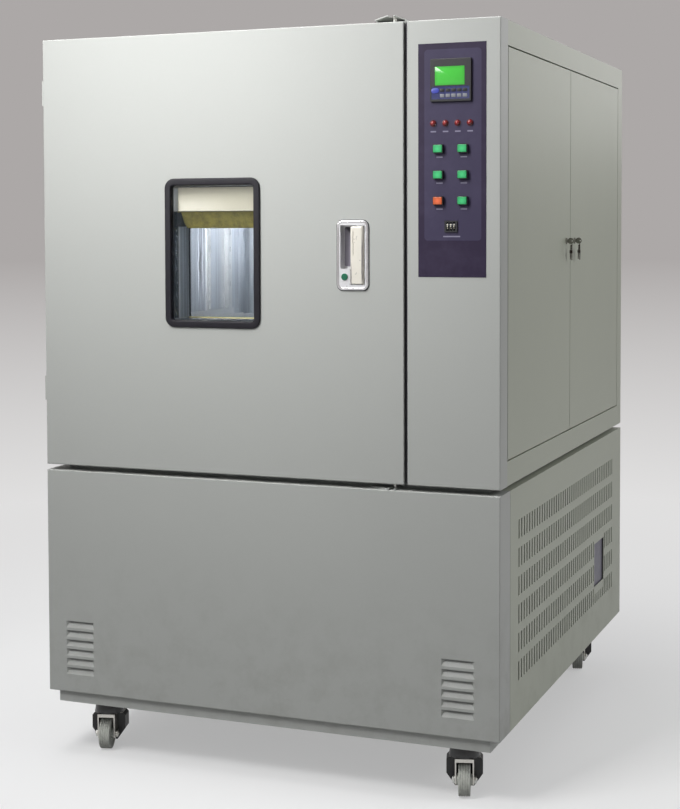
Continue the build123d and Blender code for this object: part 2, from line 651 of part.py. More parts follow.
# Chromed latch tray
tray_floor_y = -637.0
bay_floor_y = -649.0
with BuildPart() as latch_tray:
    front_plate(latch_x, latch_z, latch_w, latch_h, latch_radius, front_y - latch_proud, front_y)
    fillet(latch_tray.faces().sort_by(Axis.Y)[0].edges(), 2.5)
    box_between(mech_x0 + 1, mech_x1 - 1, front_y, -634, mech_z0 + 1, mech_z1 - 1)
    box_between(205.5, 246, front_y - latch_proud, tray_floor_y, latch_z - 31, latch_z + 69, Mode.SUBTRACT)
    box_between(229.5, 265.5, front_y - latch_proud, bay_floor_y, latch_z - 67.5, latch_z + 68, Mode.SUBTRACT)
    rod_along_y(button_x, button_z, front_y - latch_proud, -634, button_radius + running_gap, Mode.SUBTRACT)
    rod_along_z(lever_axis_x, lever_axis_y, latch_z - 71, latch_z + 72, 2 + running_gap, Mode.SUBTRACT)
save(latch_tray.part, "latch_tray")

# Latch lever on its upright pin
lever_z0 = latch_z - lever_length / 2
lever_z1 = latch_z + lever_length / 2
with BuildPart() as latch_lever:
    box_between(230.5, 262, front_y - 7, -653.5, lever_z0, lever_z1)
    fillet(latch_lever.edges().filter_by(Axis.Z).sort_by(Axis.Y)[:2], 4.5)
    fillet(latch_lever.edges().filter_by(Axis.X).sort_by(Axis.Y)[:2], 2)
    box_between(232.5, 251, -657, -653.5, lever_z0 + 3, lever_z1 - 3, Mode.SUBTRACT)
    rod_along_z(lever_axis_x, lever_axis_y, latch_z - 70.6, latch_z + 71.6, 2)
save(latch_lever.part, "latch_lever")

with BuildPart() as latch_button:
    rod_along_y(button_x, button_z, front_y - latch_proud - 3, -642, button_radius)
    fillet(latch_button.faces().sort_by(Axis.Y)[0].edges(), 1.2)
save(latch_button.part, "latch_button")

# Upper and lower draw bolts with their drive arms
bolt_top_end = roof_z + 15.5
bolt_low_end = deck_z + 1.0
with BuildPart() as bolt_upper:
    rod_along_z(bolt_x, bolt_y, latch_z + 12, bolt_top_end, bolt_radius)
    box_between(272, bolt_x, bolt_y - 3, bolt_y + 3, latch_z + 12, latch_z + 20)
save(bolt_upper.part, "bolt_upper")
with BuildPart() as bolt_lower:
    rod_along_z(bolt_x, bolt_y, bolt_low_end, latch_z - 12, bolt_radius)
    box_between(272, bolt_x, bolt_y - 3, bolt_y + 3, latch_z - 20, latch_z - 12)
save(bolt_lower.part, "bolt_lower")

# Catch plates over and under the free edge of the door
catch_sheet = 3.0
catch_rise = 12.0
catch_points = ((318, front_y), (338, front_y), (338, -520), (268, -520), (268, -598))
with BuildPart() as catch_plates:
    with BuildSketch(Plane.XY.offset(roof_z + catch_rise)):
        with BuildLine():
            Polyline(*catch_points, close=True)
        make_face()
    extrude(amount=catch_sheet)
    box_between(321.5, 333, front_y, -623, roof_z, roof_z + 20, Mode.SUBTRACT)
    box_between(335, 338, -590, -520, roof_z, roof_z + catch_rise)
    box_between(268, 271, -590, -520, roof_z, roof_z + catch_rise)
    box_between(271, 335, -523, -520, roof_z, roof_z + catch_rise)
    with BuildSketch(Plane.XY.offset(deck_z)):
        with BuildLine():
            Polyline((318, front_y), (338, front_y), (338, -612), (268, -612), (268, -630), close=True)
        make_face()
    extrude(amount=catch_sheet)
    box_between(321.5, 333, front_y, -623, deck_z, deck_z + 20, Mode.SUBTRACT)
save(catch_plates.part, "catch_plates")

# Lift-off hinges on the left side
hinge_plate = 6.0
with BuildPart() as hinge_fixed:
    for z in hinge_heights:
        rod_along_z(hinge_x, hinge_y, z - hinge_half, z - 0.5, hinge_knuckle)
        box_between(-half_w - hinge_plate, -half_w, hinge_y + 2, hinge_y + 55, z - hinge_half, z - 0.5)
        box_between(hinge_x, -half_w - hinge_plate + 1, hinge_y + 2, hinge_y + 8, z - hinge_half, z - 0.5)
        rod_along_z(hinge_x, hinge_y, z - 0.5, z + hinge_half - 6, hinge_pin)
with BuildPart() as hinge_moving:
    for z in hinge_heights:
        rod_along_z(hinge_x, hinge_y, z, z + hinge_half, hinge_knuckle)
        box_between(-half_w - hinge_plate, -half_w, hinge_y - 50, door_back_y, z, z + hinge_half)
        box_between(hinge_x, -half_w - hinge_plate + 1, hinge_y - 8, door_back_y, z, z + hinge_half)
        rod_along_z(hinge_x, hinge_y, z, z + hinge_half - 5, hinge_pin + running_gap, Mode.SUBTRACT)
save(hinge_fixed.part, "hinge_fixed")
save(hinge_moving.part, "hinge_moving")

# Control overlay, controller, lamps, switch collars and thumbwheel case
with BuildPart() as control_overlay:
    box_between(panel_x - panel_w / 2, panel_x + panel_w / 2, front_y - panel_sheet, front_y,
                panel_z - panel_h / 2, panel_z + panel_h / 2)
    box_between(controller_x - cut, controller_x + cut, front_y - panel_sheet, front_y,
                controller_z - cut, controller_z + cut, Mode.SUBTRACT)
    for x in lamp_xs:
        rod_along_y(x, lamp_z, front_y - panel_sheet, front_y, 4.2, Mode.SUBTRACT)
    for x in button_xs:
        for z in button_zs:
            rod_along_y(x, z, front_y - panel_sheet, front_y, barrel_radius + side_clear, Mode.SUBTRACT)
    box_between(wheel_unit_x - unit_w, wheel_unit_x + unit_w, front_y - panel_sheet, front_y,
                wheel_unit_z - unit_h, wheel_unit_z + unit_h, Mode.SUBTRACT)
save(control_overlay.part, "control_overlay")

face_y = front_y - panel_sheet
with BuildPart() as controller:
    front_plate(controller_x, controller_z, controller_size, controller_size, 3, face_y - 6, face_y)
    fillet(controller.faces().sort_by(Axis.Y)[0].edges(), 1.5)
    box_between(controller_x - cut + 0.5, controller_x + cut - 0.5, face_y, -575,
                controller_z - cut + 0.5, controller_z + cut - 0.5)
    box_between(434.2, 503.8, face_y - 6, face_y - 4.5, skirt_z + 1472.5, skirt_z + 1515, Mode.SUBTRACT)
save(controller.part, "controller")

with BuildPart() as lamps:
    for x in lamp_xs:
        with Locations((x, face_y - 1.5, lamp_z)):
            Sphere(lamp_dome_radius)
    box_between(lamp_xs[0] - 10, lamp_xs[-1] + 10, face_y, face_y + lamp_dome_radius,
                lamp_z - lamp_dome_radius, lamp_z + lamp_dome_radius, Mode.SUBTRACT)
    for x in lamp_xs:
        rod_along_y(x, lamp_z, face_y - 2, face_y, lamp_base_radius)
        rod_along_y(x, lamp_z, face_y, front_y + 25, lamp_stem_radius)
save(lamps.part, "lamps")

pocket_w = key_w + 2 * side_clear
pocket_h = key_h + 2 * side_clear
pocket_y = face_y - collar_floor
with BuildPart() as switch_collars:
    for x in button_xs:
        for z in button_zs:
            front_plate(x, z, collar_w, collar_h, 2, face_y - collar_rise, face_y)
            rod_along_y(x, z, face_y, front_y + 30, barrel_radius)
            front_plate(x, z, pocket_w, pocket_h, 1.8, face_y - collar_rise, pocket_y, Mode.SUBTRACT)
            rod_along_y(x, z, pocket_y, front_y + 25, stem_radius + running_gap, Mode.SUBTRACT)
save(switch_collars.part, "switch_collars")

index = 1
for z in button_zs:
    for x in button_xs:
        with BuildPart() as push_button:
            front_plate(x, z, key_w, key_h, 1.5, face_y - key_rise, face_y - key_rise + key_cap)
            fillet(push_button.faces().sort_by(Axis.Y)[0].edges(), 1)
            rod_along_y(x, z, face_y - key_rise + key_cap, front_y + 16, stem_radius)
        save(push_button.part, "push_button_" + str(index))
        index = index + 1

dial_radius = 9.0
dial_y = face_y + 4.5
dial_width = 5.0
dial_pitch = 7.6
with BuildPart() as dial_case:
    box_between(wheel_unit_x - wheel_unit_w / 2, wheel_unit_x + wheel_unit_w / 2, face_y - 3, face_y,
                wheel_unit_z - wheel_unit_h / 2, wheel_unit_z + wheel_unit_h / 2)
    box_between(wheel_unit_x - unit_w + 0.3, wheel_unit_x + unit_w - 0.3, face_y, front_y + 30,
                wheel_unit_z - unit_h + 0.3, wheel_unit_z + unit_h - 0.3)
    for i in (-1, 0, 1):
        x = wheel_unit_x + i * dial_pitch
        box_between(x - dial_width / 2 - 0.4, x + dial_width / 2 + 0.4, face_y - 3, front_y + 16,
                    wheel_unit_z - dial_radius - 0.6, wheel_unit_z + dial_radius + 0.6, Mode.SUBTRACT)
    rod_along_x(dial_y, wheel_unit_z, wheel_unit_x - 12.6, wheel_unit_x + 12.6, 1.5 + running_gap, Mode.SUBTRACT)
save(dial_case.part, "dial_case")
for i in (-1, 0, 1):
    x = wheel_unit_x + i * dial_pitch
    with BuildPart() as dial:
        with BuildSketch(Plane.YZ.offset(x - dial_width / 2)):
            with Locations((dial_y, wheel_unit_z)):
                RegularPolygon(dial_radius, 20)
        extrude(amount=dial_width)
        rod_along_x(dial_y, wheel_unit_z, x - dial_width / 2 - 1.1, x + dial_width / 2 + 1.1, 1.5)
    save(dial.part, "setting_dial_" + str(i + 2))

# Main breaker behind the cut-out of the right panel, on a bracket from the pan
breaker_y = (cut_y0 + cut_y1) / 2
breaker_z = (cut_z0 + cut_z1) / 2
breaker_x0 = 500.0
toggle_x = 570.0
with BuildPart() as breaker:
    box_between(breaker_x0, 566, breaker_y - 52, breaker_y + 52, breaker_z - 76, breaker_z + 76)
    box_between(566, 574, breaker_y - 38, breaker_y + 38, breaker_z - 40, breaker_z + 40)
    box_between(556, 574, breaker_y - 8, breaker_y + 8, breaker_z - 22, breaker_z + 22, Mode.SUBTRACT)
    rod_along_y(toggle_x - 8, breaker_z, breaker_y - 10, breaker_y + 10, 2 + running_gap, Mode.SUBTRACT)
    box_between(breaker_x0 - 3, breaker_x0, breaker_y - 60, breaker_y + 60, skirt_z, breaker_z + 84)
    box_between(breaker_x0 - 30, breaker_x0, breaker_y - 60, breaker_y + 60, skirt_z, skirt_z + 3)
with BuildPart() as breaker_toggle:
    rod_along_y(toggle_x - 8, breaker_z, breaker_y - 9.5, breaker_y + 9.5, 2)
    rod_along_y(toggle_x - 8, breaker_z, breaker_y - 7.5, breaker_y + 7.5, 5.5)
    box_between(toggle_x - 8, toggle_x + 10, breaker_y - 7, breaker_y + 7, breaker_z - 3.5, breaker_z + 3.5)
save(breaker.part, "breaker")
save(breaker_toggle.part, "breaker_toggle")

# Casters: fixed top plates, swivel forks with hood, wheels
caster_places = ((-caster_x, caster_front_y), (caster_x, caster_front_y),
                 (-caster_x, caster_back_y), (caster_x, caster_back_y))
plate_z0 = caster_height - 3.0
with BuildPart() as caster_plates:
    for x, y in caster_places:
        box_between(x - 46, x + 46, y - 46, y + 46, plate_z0, caster_height)
        with BuildSketch(Plane.XY.offset(fork_top + 0.4)):
            with Locations((x, y)):
                Circle(head_foot_radius)
        with BuildSketch(Plane.XY.offset(plate_z0)):
            with Locations((x, y)):
                Circle(head_top_radius)
        loft()
        rod_along_z(x, y, fork_top - 7, fork_top + 0.4, king_pin_radius)
save(caster_plates.part, "caster_plates")


def fork(x, y):
    side_x = fork_outer / 2
    hood_x = hood_outer / 2
    with BuildPart() as body:
        box_between(-side_x, side_x, -fork_nose, 20, fork_top - fork_sheet, fork_top)
        box_between(-side_x, side_x, -fork_nose, fork_sheet - fork_nose, fork_top - 8, fork_top)
        for side in (-1, 1):
            with BuildSketch(Plane.YZ.offset(side * side_x)):
                with BuildLine():
                    Polyline((-fork_nose, fork_top), (20, fork_top), (20, fork_top - 26),
                             (10 - caster_trail, wheel_radius - 9.5), (-10 - caster_trail, wheel_radius - 9.5),
                             (-fork_nose, fork_top - 28), close=True)
                make_face()
            extrude(amount=-side * fork_sheet)
        with BuildSketch(Plane.XZ.offset(-hood_back)):
            with BuildLine():
                Polyline((-side_x, 17), (side_x, 17), (hood_x, 46), (hood_x, fork_top - 10),
                         (hood_x - 6.5, fork_top - fork_sheet), (6.5 - hood_x, fork_top - fork_sheet),
                         (-hood_x, fork_top - 10), (-hood_x, 46), close=True)
            make_face()
        extrude(amount=hood_back + 8)
        slot_x = wheel_width / 2 + 3
        box_between(-slot_x, slot_x, -8, wheel_radius - caster_trail + 2.5, 0, 2 * wheel_radius + 5, Mode.SUBTRACT)
        rod_along_z(0, 0, fork_top - 10, fork_top, king_pin_radius + running_gap, Mode.SUBTRACT)
        rod_along_x(-caster_trail, wheel_radius, -side_x - 4, side_x + 4, axle_radius)
    return body.part.moved(Location((x, y, 0), (0, 0, caster_turn)))


def wheel(x, y):
    hub_x = fork_outer / 2 - fork_sheet - 0.4
    with BuildPart() as body:
        rod_along_x(-caster_trail, wheel_radius, -wheel_width / 2, wheel_width / 2, wheel_radius)
        chamfer(body.edges().filter_by(GeomType.CIRCLE), 3)
        rod_along_x(-caster_trail, wheel_radius, -hub_x, hub_x, 12)
        rod_along_x(-caster_trail, wheel_radius, -hub_x, hub_x, axle_radius + running_gap, Mode.SUBTRACT)
    return body.part.moved(Location((x, y, 0), (0, 0, caster_turn)))


for i, place in enumerate(caster_places):
    save(fork(*place), "caster_fork_" + str(i + 1))
    save(wheel(*place), "caster_wheel_" + str(i + 1))
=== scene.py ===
"""Looks and fine pieces of a free-standing environmental test chamber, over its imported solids."""
import json
import math
from functools import partialmethod

import bmesh
import bpy
from mathutils import Matrix, Vector

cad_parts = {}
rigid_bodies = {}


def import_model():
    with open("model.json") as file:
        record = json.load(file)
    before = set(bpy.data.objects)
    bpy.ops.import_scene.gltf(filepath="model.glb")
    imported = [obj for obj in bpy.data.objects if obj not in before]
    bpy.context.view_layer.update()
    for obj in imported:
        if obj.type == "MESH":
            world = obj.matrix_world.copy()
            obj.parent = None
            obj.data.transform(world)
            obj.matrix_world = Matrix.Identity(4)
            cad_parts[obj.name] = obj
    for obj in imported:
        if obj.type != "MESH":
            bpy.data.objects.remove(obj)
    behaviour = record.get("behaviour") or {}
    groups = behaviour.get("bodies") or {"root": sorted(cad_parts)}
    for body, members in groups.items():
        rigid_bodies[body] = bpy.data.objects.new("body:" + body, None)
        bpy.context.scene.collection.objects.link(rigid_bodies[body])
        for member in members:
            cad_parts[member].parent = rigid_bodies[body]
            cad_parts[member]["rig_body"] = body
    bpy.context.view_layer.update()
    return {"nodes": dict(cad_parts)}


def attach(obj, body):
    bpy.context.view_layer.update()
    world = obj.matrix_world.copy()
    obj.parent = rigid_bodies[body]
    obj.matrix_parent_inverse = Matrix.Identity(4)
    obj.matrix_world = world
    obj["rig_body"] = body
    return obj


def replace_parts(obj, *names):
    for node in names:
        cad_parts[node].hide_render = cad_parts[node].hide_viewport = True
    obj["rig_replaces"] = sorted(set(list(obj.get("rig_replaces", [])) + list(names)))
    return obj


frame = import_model()

bl_info = {
    "name": "Environmental test chamber",
    "version": (1, 0, 0),
    "blender": (4, 5, 0),
    "location": "View3D > Sidebar > Chamber",
    "description": "Finishes, fine pieces, light and camera for a free-standing test chamber",
    "category": "Object",
}

MM = 0.001
# In metres
TANK_SIDE = -0.4
DIAL_RADIUS = 0.009
# In millimetres: a pair on the front is x and z, and a pair named for an axis is low and high
FRONT = -657.5
FACE = FRONT - 0.8
BACK = 657.5
UPPER = 728.0
ROOF = 1778.0
WINDOW = (-122.5, 1255.0)
PANEL = (472.8, 1464.0)
CONTROLLER_X = 471.3
SCREEN = (469.0, 1651.8)
LAMP_XS = (429.2, 457.8, 486.4, 515.0)
LAMP_Z = 1547.0
KEY_XS = (442.0, 499.0)
KEY_ZS = (1490.0, 1432.0, 1374.0)
DIALS = (471.1, 1316.5)
LATCH = (235.2, 1251.0)
# Where each caster swivels, in x and y; how far it trails; its wheel's radius and width
CASTERS = ((-472, -556), (472, -556), (-472, 585), (472, 585))
CASTER_TURN = 16.0
TRAIL = 26.0
WHEEL = (37.5, 28.0)
# Width, height, corner and band of each rounded frame
RIM = (250, 356, 24, 16.5)
SLEEVE = (231.4, 337.4, 15.7, 7.4)
PANE_BEAD = (215.4, 321.4, 8, 4)
GASKET = (80.4, 163.2, 15.5, 2.6)
LATCH_BEAD = (75.6, 158.4, 13.5, 5.0)
# The latch's finger pocket: x, z, width, height and corner
POCKET = (218.6, 1270.5, 23.5, 91.0, 5.0)
OUTER_PANE = -646
INNER_PANE = -570
LAMP_HOUSING_Z = 1355
BREAKER_Y = (306.4, 427.6)
BREAKER_Z = (283.4, 448.6)
BACKING_X = (581.4, 583.2)
BACKING_Z = (170, 704)
SCREW_XS = (-540.0, -180.0, 180.0, 540.0)
SCREW_ZS = (1740.0, 1253.0, 766.0)
PLATE_X = 371.2
RAIL_X = 378.6
KEYS_X = 598.0
CONTACTOR_PITCH = 62
TERMINAL_PITCH = 12.6
SMALL_KEY_PITCH = 13.2

# Name, place, aim, size in metres, watts and spread in degrees
SOFTBOXES = (
    ("front_softbox", (-0.9, -2.9, 4.0), (-0.15, -0.65, 1.75), 1.5, 20, 70),
    ("sheen_softbox", (-1.35, -3.0, 2.3), (-0.15, -0.65, 1.75), 0.9, 3.4, 44),
    ("left_softbox", (-2.6, -3.6, 3.4), (0.0, 0.0, 0.5), 1.6, 12, 120),
    ("top_softbox", (-0.8, -0.6, 4.8), (0.0, 0.0, 1.0), 2.4, 92, 180),
    ("right_softbox", (4.6, 0.2, 3.6), (0.5, 0.0, 1.6), 1.8, 15, 80),
    ("tank_lamp", (-0.14, -0.5, 1.34), (-0.28, 0.2, 1.1), 0.16, 3, 170),
    ("back_softbox", (1.5, 4.8, 3.0), (0.0, 0.3, 1.0), 2.6, 42, 180),
)
# The photograph's camera: metres, then yaw, pitch and roll in degrees
CAMERA_PLACE = (1.5469, -4.0553, 1.314)
CAMERA_TURN = (21.581, 2.604, 0.167)
CAMERA_LENS = 70.68
CAMERA_SHIFT = -0.129


def srgb(red, green, blue):
    """A screen colour, 0 to 255, in the renderer's linear values."""
    made = []
    for part in (red, green, blue):
        part = part / 255
        made.append(part / 12.92 if part <= 0.04045 else ((part + 0.055) / 1.055) ** 2.4)
    return tuple(made)


def colour_value(name, description, value):
    return bpy.props.FloatVectorProperty(
        name=name, description=description, subtype="COLOR", size=3, min=0.0, max=1.0, default=value
    )


def length_value(name, description, value):
    return bpy.props.FloatProperty(name=name, description=description, unit="LENGTH", default=value * MM)


class ChamberColours(bpy.types.PropertyGroup):
    """Colours of the chamber's finishes."""

    coat: colour_value("Powder coat", "Warm light grey of the sheet metal", srgb(176, 178, 174))
    # The side colour is the same coat tinted to how light falls on the right side: a painted light tint
    side: colour_value("Side coat", "The same coat as it looks on the right side", srgb(176, 180, 165))
    film: colour_value("Panel border", "Dark border of the control panel", srgb(34, 22, 50))
    field: colour_value("Panel field", "Lighter inner field of the control panel", srgb(54, 48, 74))
    green: colour_value("Green caps", "Push button caps", srgb(14, 172, 96))
    orange: colour_value("Orange cap", "Stop button cap", srgb(206, 82, 0))
    red: colour_value("Lamps", "Indicator lamp domes", srgb(158, 8, 10))
    screen: colour_value("Screen", "Lit face of the controller", srgb(66, 178, 60))
    strip: colour_value("Key strip", "Blue strip under the screen", srgb(26, 34, 92))
    rubber: colour_value("Rubber", "Window surround", srgb(13, 10, 20))
    floor: colour_value("Floor", "Studio floor", srgb(242, 242, 242))
    backdrop: colour_value("Backdrop", "Studio background", srgb(172, 168, 167))


class ChamberSizes(bpy.types.PropertyGroup):
    """Sizes of the small forms that the scene adds."""

    coat_grain: length_value("Coat grain", "Size of one grain of the textured powder coat", 1.3)
    edge_ease: length_value("Edge ease", "Rounding of folded sheet edges", 0.8)
    rubber_roll: length_value("Rubber roll", "Rounding of the window surround", 4.0)
    screw_head: length_value("Screw head", "Diameter of a cover screw", 9.0)
    tyre_ridge: length_value("Tyre ridge", "Height of the ridge round a caster wheel", 1.2)


class Wire:
    """A value in a node tree that takes arithmetic and adds a Math node for each step."""

    def __init__(self, nodes, socket):
        self.nodes = nodes
        self.socket = socket

    def join(self, operation, second=0.0, third=0.0):
        return self.nodes.value("ShaderNodeMath", {"operation": operation}, {0: self, 1: second, 2: third})

    __add__ = __radd__ = partialmethod(join, "ADD")
    __mul__ = __rmul__ = partialmethod(join, "MULTIPLY")
    __sub__ = partialmethod(join, "SUBTRACT")
    __truediv__ = partialmethod(join, "DIVIDE")
    __abs__ = partialmethod(join, "ABSOLUTE")
    least = partialmethod(join, "MINIMUM")
    most = partialmethod(join, "MAXIMUM")
    under = partialmethod(join, "LESS_THAN")
    over = partialmethod(join, "GREATER_THAN")
    power = partialmethod(join, "POWER")
    sine = partialmethod(join, "SINE")

    def __rsub__(self, other):
        return self.nodes.value("ShaderNodeMath", {"operation": "SUBTRACT"}, {0: other, 1: self})

    def wrap(self, pitch):
        """The value folded into one pitch, measured from the pitch's middle."""
        return self.join("WRAP", pitch / 2, -pitch / 2)

    def within(self, low, high):
        """0 below low, 1 above high and a straight climb between them."""
        return self.nodes.value("ShaderNodeMapRange", {}, {"Value": self, "From Min": low, "From Max": high})


class Nodes:
    """A node tree that starts empty and takes nodes with their settings and sockets."""

    def __init__(self, tree):
        self.tree = tree
        tree.nodes.clear()

    def node(self, kind, settings=None, sockets=None):
        made = self.tree.nodes.new(kind)
        for key, value in (settings or {}).items():
            setattr(made, key, value)
        for key, value in (sockets or {}).items():
            if isinstance(value, Wire):
                self.tree.links.new(value.socket, made.inputs[key])
            else:
                made.inputs[key].default_value = value
        return made

    def value(self, kind, settings=None, sockets=None, output=0):
        return Wire(self, self.node(kind, settings, sockets).outputs[output])

    def seen(self):
        """1 for a ray from the camera, a mirror or a pane, and 0 for one that only lights."""
        path = self.node("ShaderNodeLightPath")
        rays = [Wire(self, path.outputs["Is %s Ray" % kind]) for kind in ("Camera", "Glossy", "Transmission")]
        return (rays[0] + rays[1] + rays[2]).least(1.0)


class Finish(Nodes):
    """One material, built from its nodes."""

    def __init__(self, name):
        self.material = bpy.data.materials.new(name)
        self.material.use_nodes = True
        super().__init__(self.material.node_tree)
        self.place = self.value("ShaderNodeTexCoord", output="Object")
        split = self.node("ShaderNodeSeparateXYZ", sockets={"Vector": self.place})
        self.x, self.y, self.z = (Wire(self, split.outputs[i]) for i in range(3))

    def noise(self, scale, detail=2.0, rough=0.5, place=None):
        sockets = {"Vector": place or self.place, "Scale": scale, "Detail": detail, "Roughness": rough}
        return self.value("ShaderNodeTexNoise", {}, sockets)

    def streaks(self, squeeze, detail, rough, scale=1.0):
        """Noise in object coordinates squeezed along the axes, for brushed metal, bands and wavy lines."""
        place = self.value("ShaderNodeMapping", {}, {"Vector": self.place, "Scale": squeeze})
        return self.noise(scale, detail, rough, place)

    def cells(self, scale):
        return self.value("ShaderNodeTexVoronoi", {}, {"Vector": self.place, "Scale": scale})

    def tint(self, amount, first, second):
        """A colour between two, by amount."""
        sockets = {0: amount, 6: (*first, 1.0) if isinstance(first, tuple) else first}
        sockets[7] = (*second, 1.0) if isinstance(second, tuple) else second
        return self.value("ShaderNodeMix", {"data_type": "RGBA"}, sockets, 2)

    def shades(self, colour, amount, spread):
        """A colour made a little darker and lighter by amount."""
        high = tuple(min(part * (1 + spread), 1.0) for part in colour)
        return self.tint(amount, scaled(colour, 1 - spread), high)

    def relief(self, height, depth, strength):
        return self.value("ShaderNodeBump", {}, {"Height": height, "Distance": depth, "Strength": strength})

    def rounded(self, x, z, width, height, radius):
        """Distance outside a rounded field on a front face, in metres; negative inside it."""
        over_x = abs(self.x - x * MM) - (width / 2 - radius) * MM
        over_z = abs(self.z - z * MM) - (height / 2 - radius) * MM
        corner = (over_x.most(0.0).power(2.0) + over_z.most(0.0).power(2.0)).power(0.5)
        return corner + over_x.most(over_z).least(0.0) - radius * MM

    def close(self, sockets):
        """Ends the material in one Principled surface and gives the material back."""
        shader = self.value("ShaderNodeBsdfPrincipled", sockets=sockets)
        self.node("ShaderNodeOutputMaterial", sockets={"Surface": shader})
        return self.material


def colours():
    return bpy.context.scene.chamber_colours


def sizes():
    return bpy.context.scene.chamber_sizes


def scaled(colour, factor):
    return tuple(part * factor for part in colour)


def powder_coat(f, colour, low_patch_amount):
    """Fine textured powder coat, darker and rougher in patches towards the floor."""
    grain = f.noise(1.0 / sizes().coat_grain, 3.0, 0.6)
    pores = f.noise(0.45 / sizes().coat_grain, 2.0)
    patches = f.noise(2.6, 4.0, 0.62)
    speck = f.cells(520.0)
    tone = grain * 0.35 + patches * 0.45 + speck * 0.2
    body = f.shades(colour, tone, 0.07)
    # Grey-brown patches that grow stronger towards the floor and darken the lower panels
    low = 1.0 - f.z.within(0.15, 0.55)
    low_patches = f.noise(14.0, 5.0, 0.7).within(0.45, 0.75) * low * low_patch_amount
    body = f.tint(low_patches * 0.25, body, srgb(120, 116, 106))
    return {
        "Base Color": body,
        "Roughness": 0.38 + grain * 0.12 + low_patches * 0.15,
        "Normal": f.relief(grain * 0.6 + pores * 0.4, 0.00016, 0.55),
        "Specular IOR Level": 0.42,
    }


def brushed(f, colour, rough, upright, grimy=0.0, painted_reflection_bands=0.0, bands=34.0, metal=1.0):
    """Drawn stainless sheet with its brush lines, the odd darker streak and, where asked, broad darker upright bands
    that are painted reflections.
    """
    squeeze = (340.0, 340.0, 5.0) if upright else (5.0, 340.0, 340.0)
    lines = f.streaks(squeeze, 4.0, 0.7)
    fine = f.streaks(squeeze, 2.0, 0.5, 4.0)
    cloud = f.noise(7.0, 4.0, 0.55)
    streak = f.streaks((22.0, 22.0, 0.9), 3.0, 0.6).within(0.4, 0.7)
    body = f.shades(colour, lines * 0.5 + cloud * 0.5, 0.1)
    body = f.tint(streak * grimy, body, scaled(colour, 0.45))
    # Painted reflections: broad darker upright bands
    if painted_reflection_bands:
        band = f.streaks((bands, bands, 0.35), 3.0, 0.6).within(0.38, 0.62)
        body = f.tint(band * painted_reflection_bands, body, scaled(colour, 0.4))
    return {
        "Base Color": body,
        "Metallic": metal,
        "Roughness": rough + lines * 0.14 + cloud * 0.08,
        "Normal": f.relief(lines * 0.6 + fine * 0.4, 0.00006, 0.5),
    }


def tank_wall(f, colour):
    """Stainless tank with painted reflections: upright darker bands, a wavy doubled painted highlight on its left wall
    that also glows, a dark painted reflection beside it, and a paler foot.
    """
    lines = f.streaks((340.0, 340.0, 5.0), 4.0, 0.7)
    # Painted reflections: darker upright bands, stronger on the left wall inside the tank
    band = f.streaks((52.0, 52.0, 0.35), 3.0, 0.6).within(0.4, 0.6)
    sway = (f.streaks((2.0, 2.0, 26.0), 3.0, 0.6) - 0.5) * 0.014
    height = f.z.within(1.1, 1.16) * (1.0 - f.z.within(1.31, 1.36))
    # Painted highlight: a wavy doubled glint on the left wall, also given as emission
    first = 1.0 - abs(f.y + sway + 0.062).within(0.0015, 0.004)
    second = 1.0 - abs(f.y + sway * 0.6 + 0.034).within(0.001, 0.0035)
    glint = first.most(second) * height * f.x.under(TANK_SIDE)
    # Painted reflection: a dark wedge beside the glint
    dark_reflection_wedge = (1.0 - abs(f.y + sway + 0.05).within(0.001, 0.007)) * f.x.under(TANK_SIDE)
    dark_reflection_wedge = dark_reflection_wedge * f.z.within(1.12, 1.2) * (1.0 - f.z.within(1.24, 1.28))
    foot = 1.0 - f.z.within(1.05, 1.14)
    inside = f.x.under(TANK_SIDE) * f.y.over(-0.5)
    body = f.tint(band * (inside * 0.5 + 0.14), f.shades(colour, lines, 0.1), scaled(colour, 0.42))
    body = f.tint(foot * 0.45, body, srgb(214, 218, 222))
    body = f.tint(dark_reflection_wedge * 0.8, body, srgb(50, 54, 52))
    body = f.tint(glint, body, srgb(240, 243, 248))
    return {
        "Base Color": body,
        "Metallic": 0.75 - glint * 0.6,
        "Roughness": 0.28 + lines * 0.14,
        "Normal": f.relief(lines, 0.00006, 0.5),
        "Emission Color": f.tint(glint, (0.0, 0.0, 0.0), srgb(210, 216, 226)),
        "Emission Strength": 0.5,
    }


def chrome(f, colour, rough):
    """Polished plate with fingermarks."""
    marks = f.noise(46.0, 5.0, 0.66)
    wave = f.noise(9.0, 2.0, 0.5)
    return {
        "Base Color": f.shades(colour, marks, 0.05),
        "Metallic": 1.0,
        "Roughness": rough + marks.within(0.45, 0.8) * 0.16,
        "Normal": f.relief(wave, 0.0012, 0.35),
    }


def tray_metal(f, bright, satin):
    """Bright die-cast dish, satin and shaded inside its finger pocket."""
    marks = f.noise(46.0, 5.0, 0.66)
    pocket = 1.0 - f.rounded(*POCKET).within(-0.0005, 0.0005)
    slope = (f.x - 0.208) * 0.8 + 0.004 - (1.3165 - f.z)
    shade = slope.within(-0.003, 0.004) * pocket
    body = f.tint(pocket, f.shades(bright, marks, 0.05), f.shades(satin, marks, 0.08))
    body = f.tint(shade * 0.85, body, srgb(44, 42, 44))
    return {
        "Base Color": body,
        "Metallic": 0.45 - pocket * 0.2,
        "Roughness": 0.24 + marks * 0.1 + pocket * 0.2,
        "Normal": f.relief(f.noise(9.0, 2.0, 0.5), 0.0006, 0.3),
    }


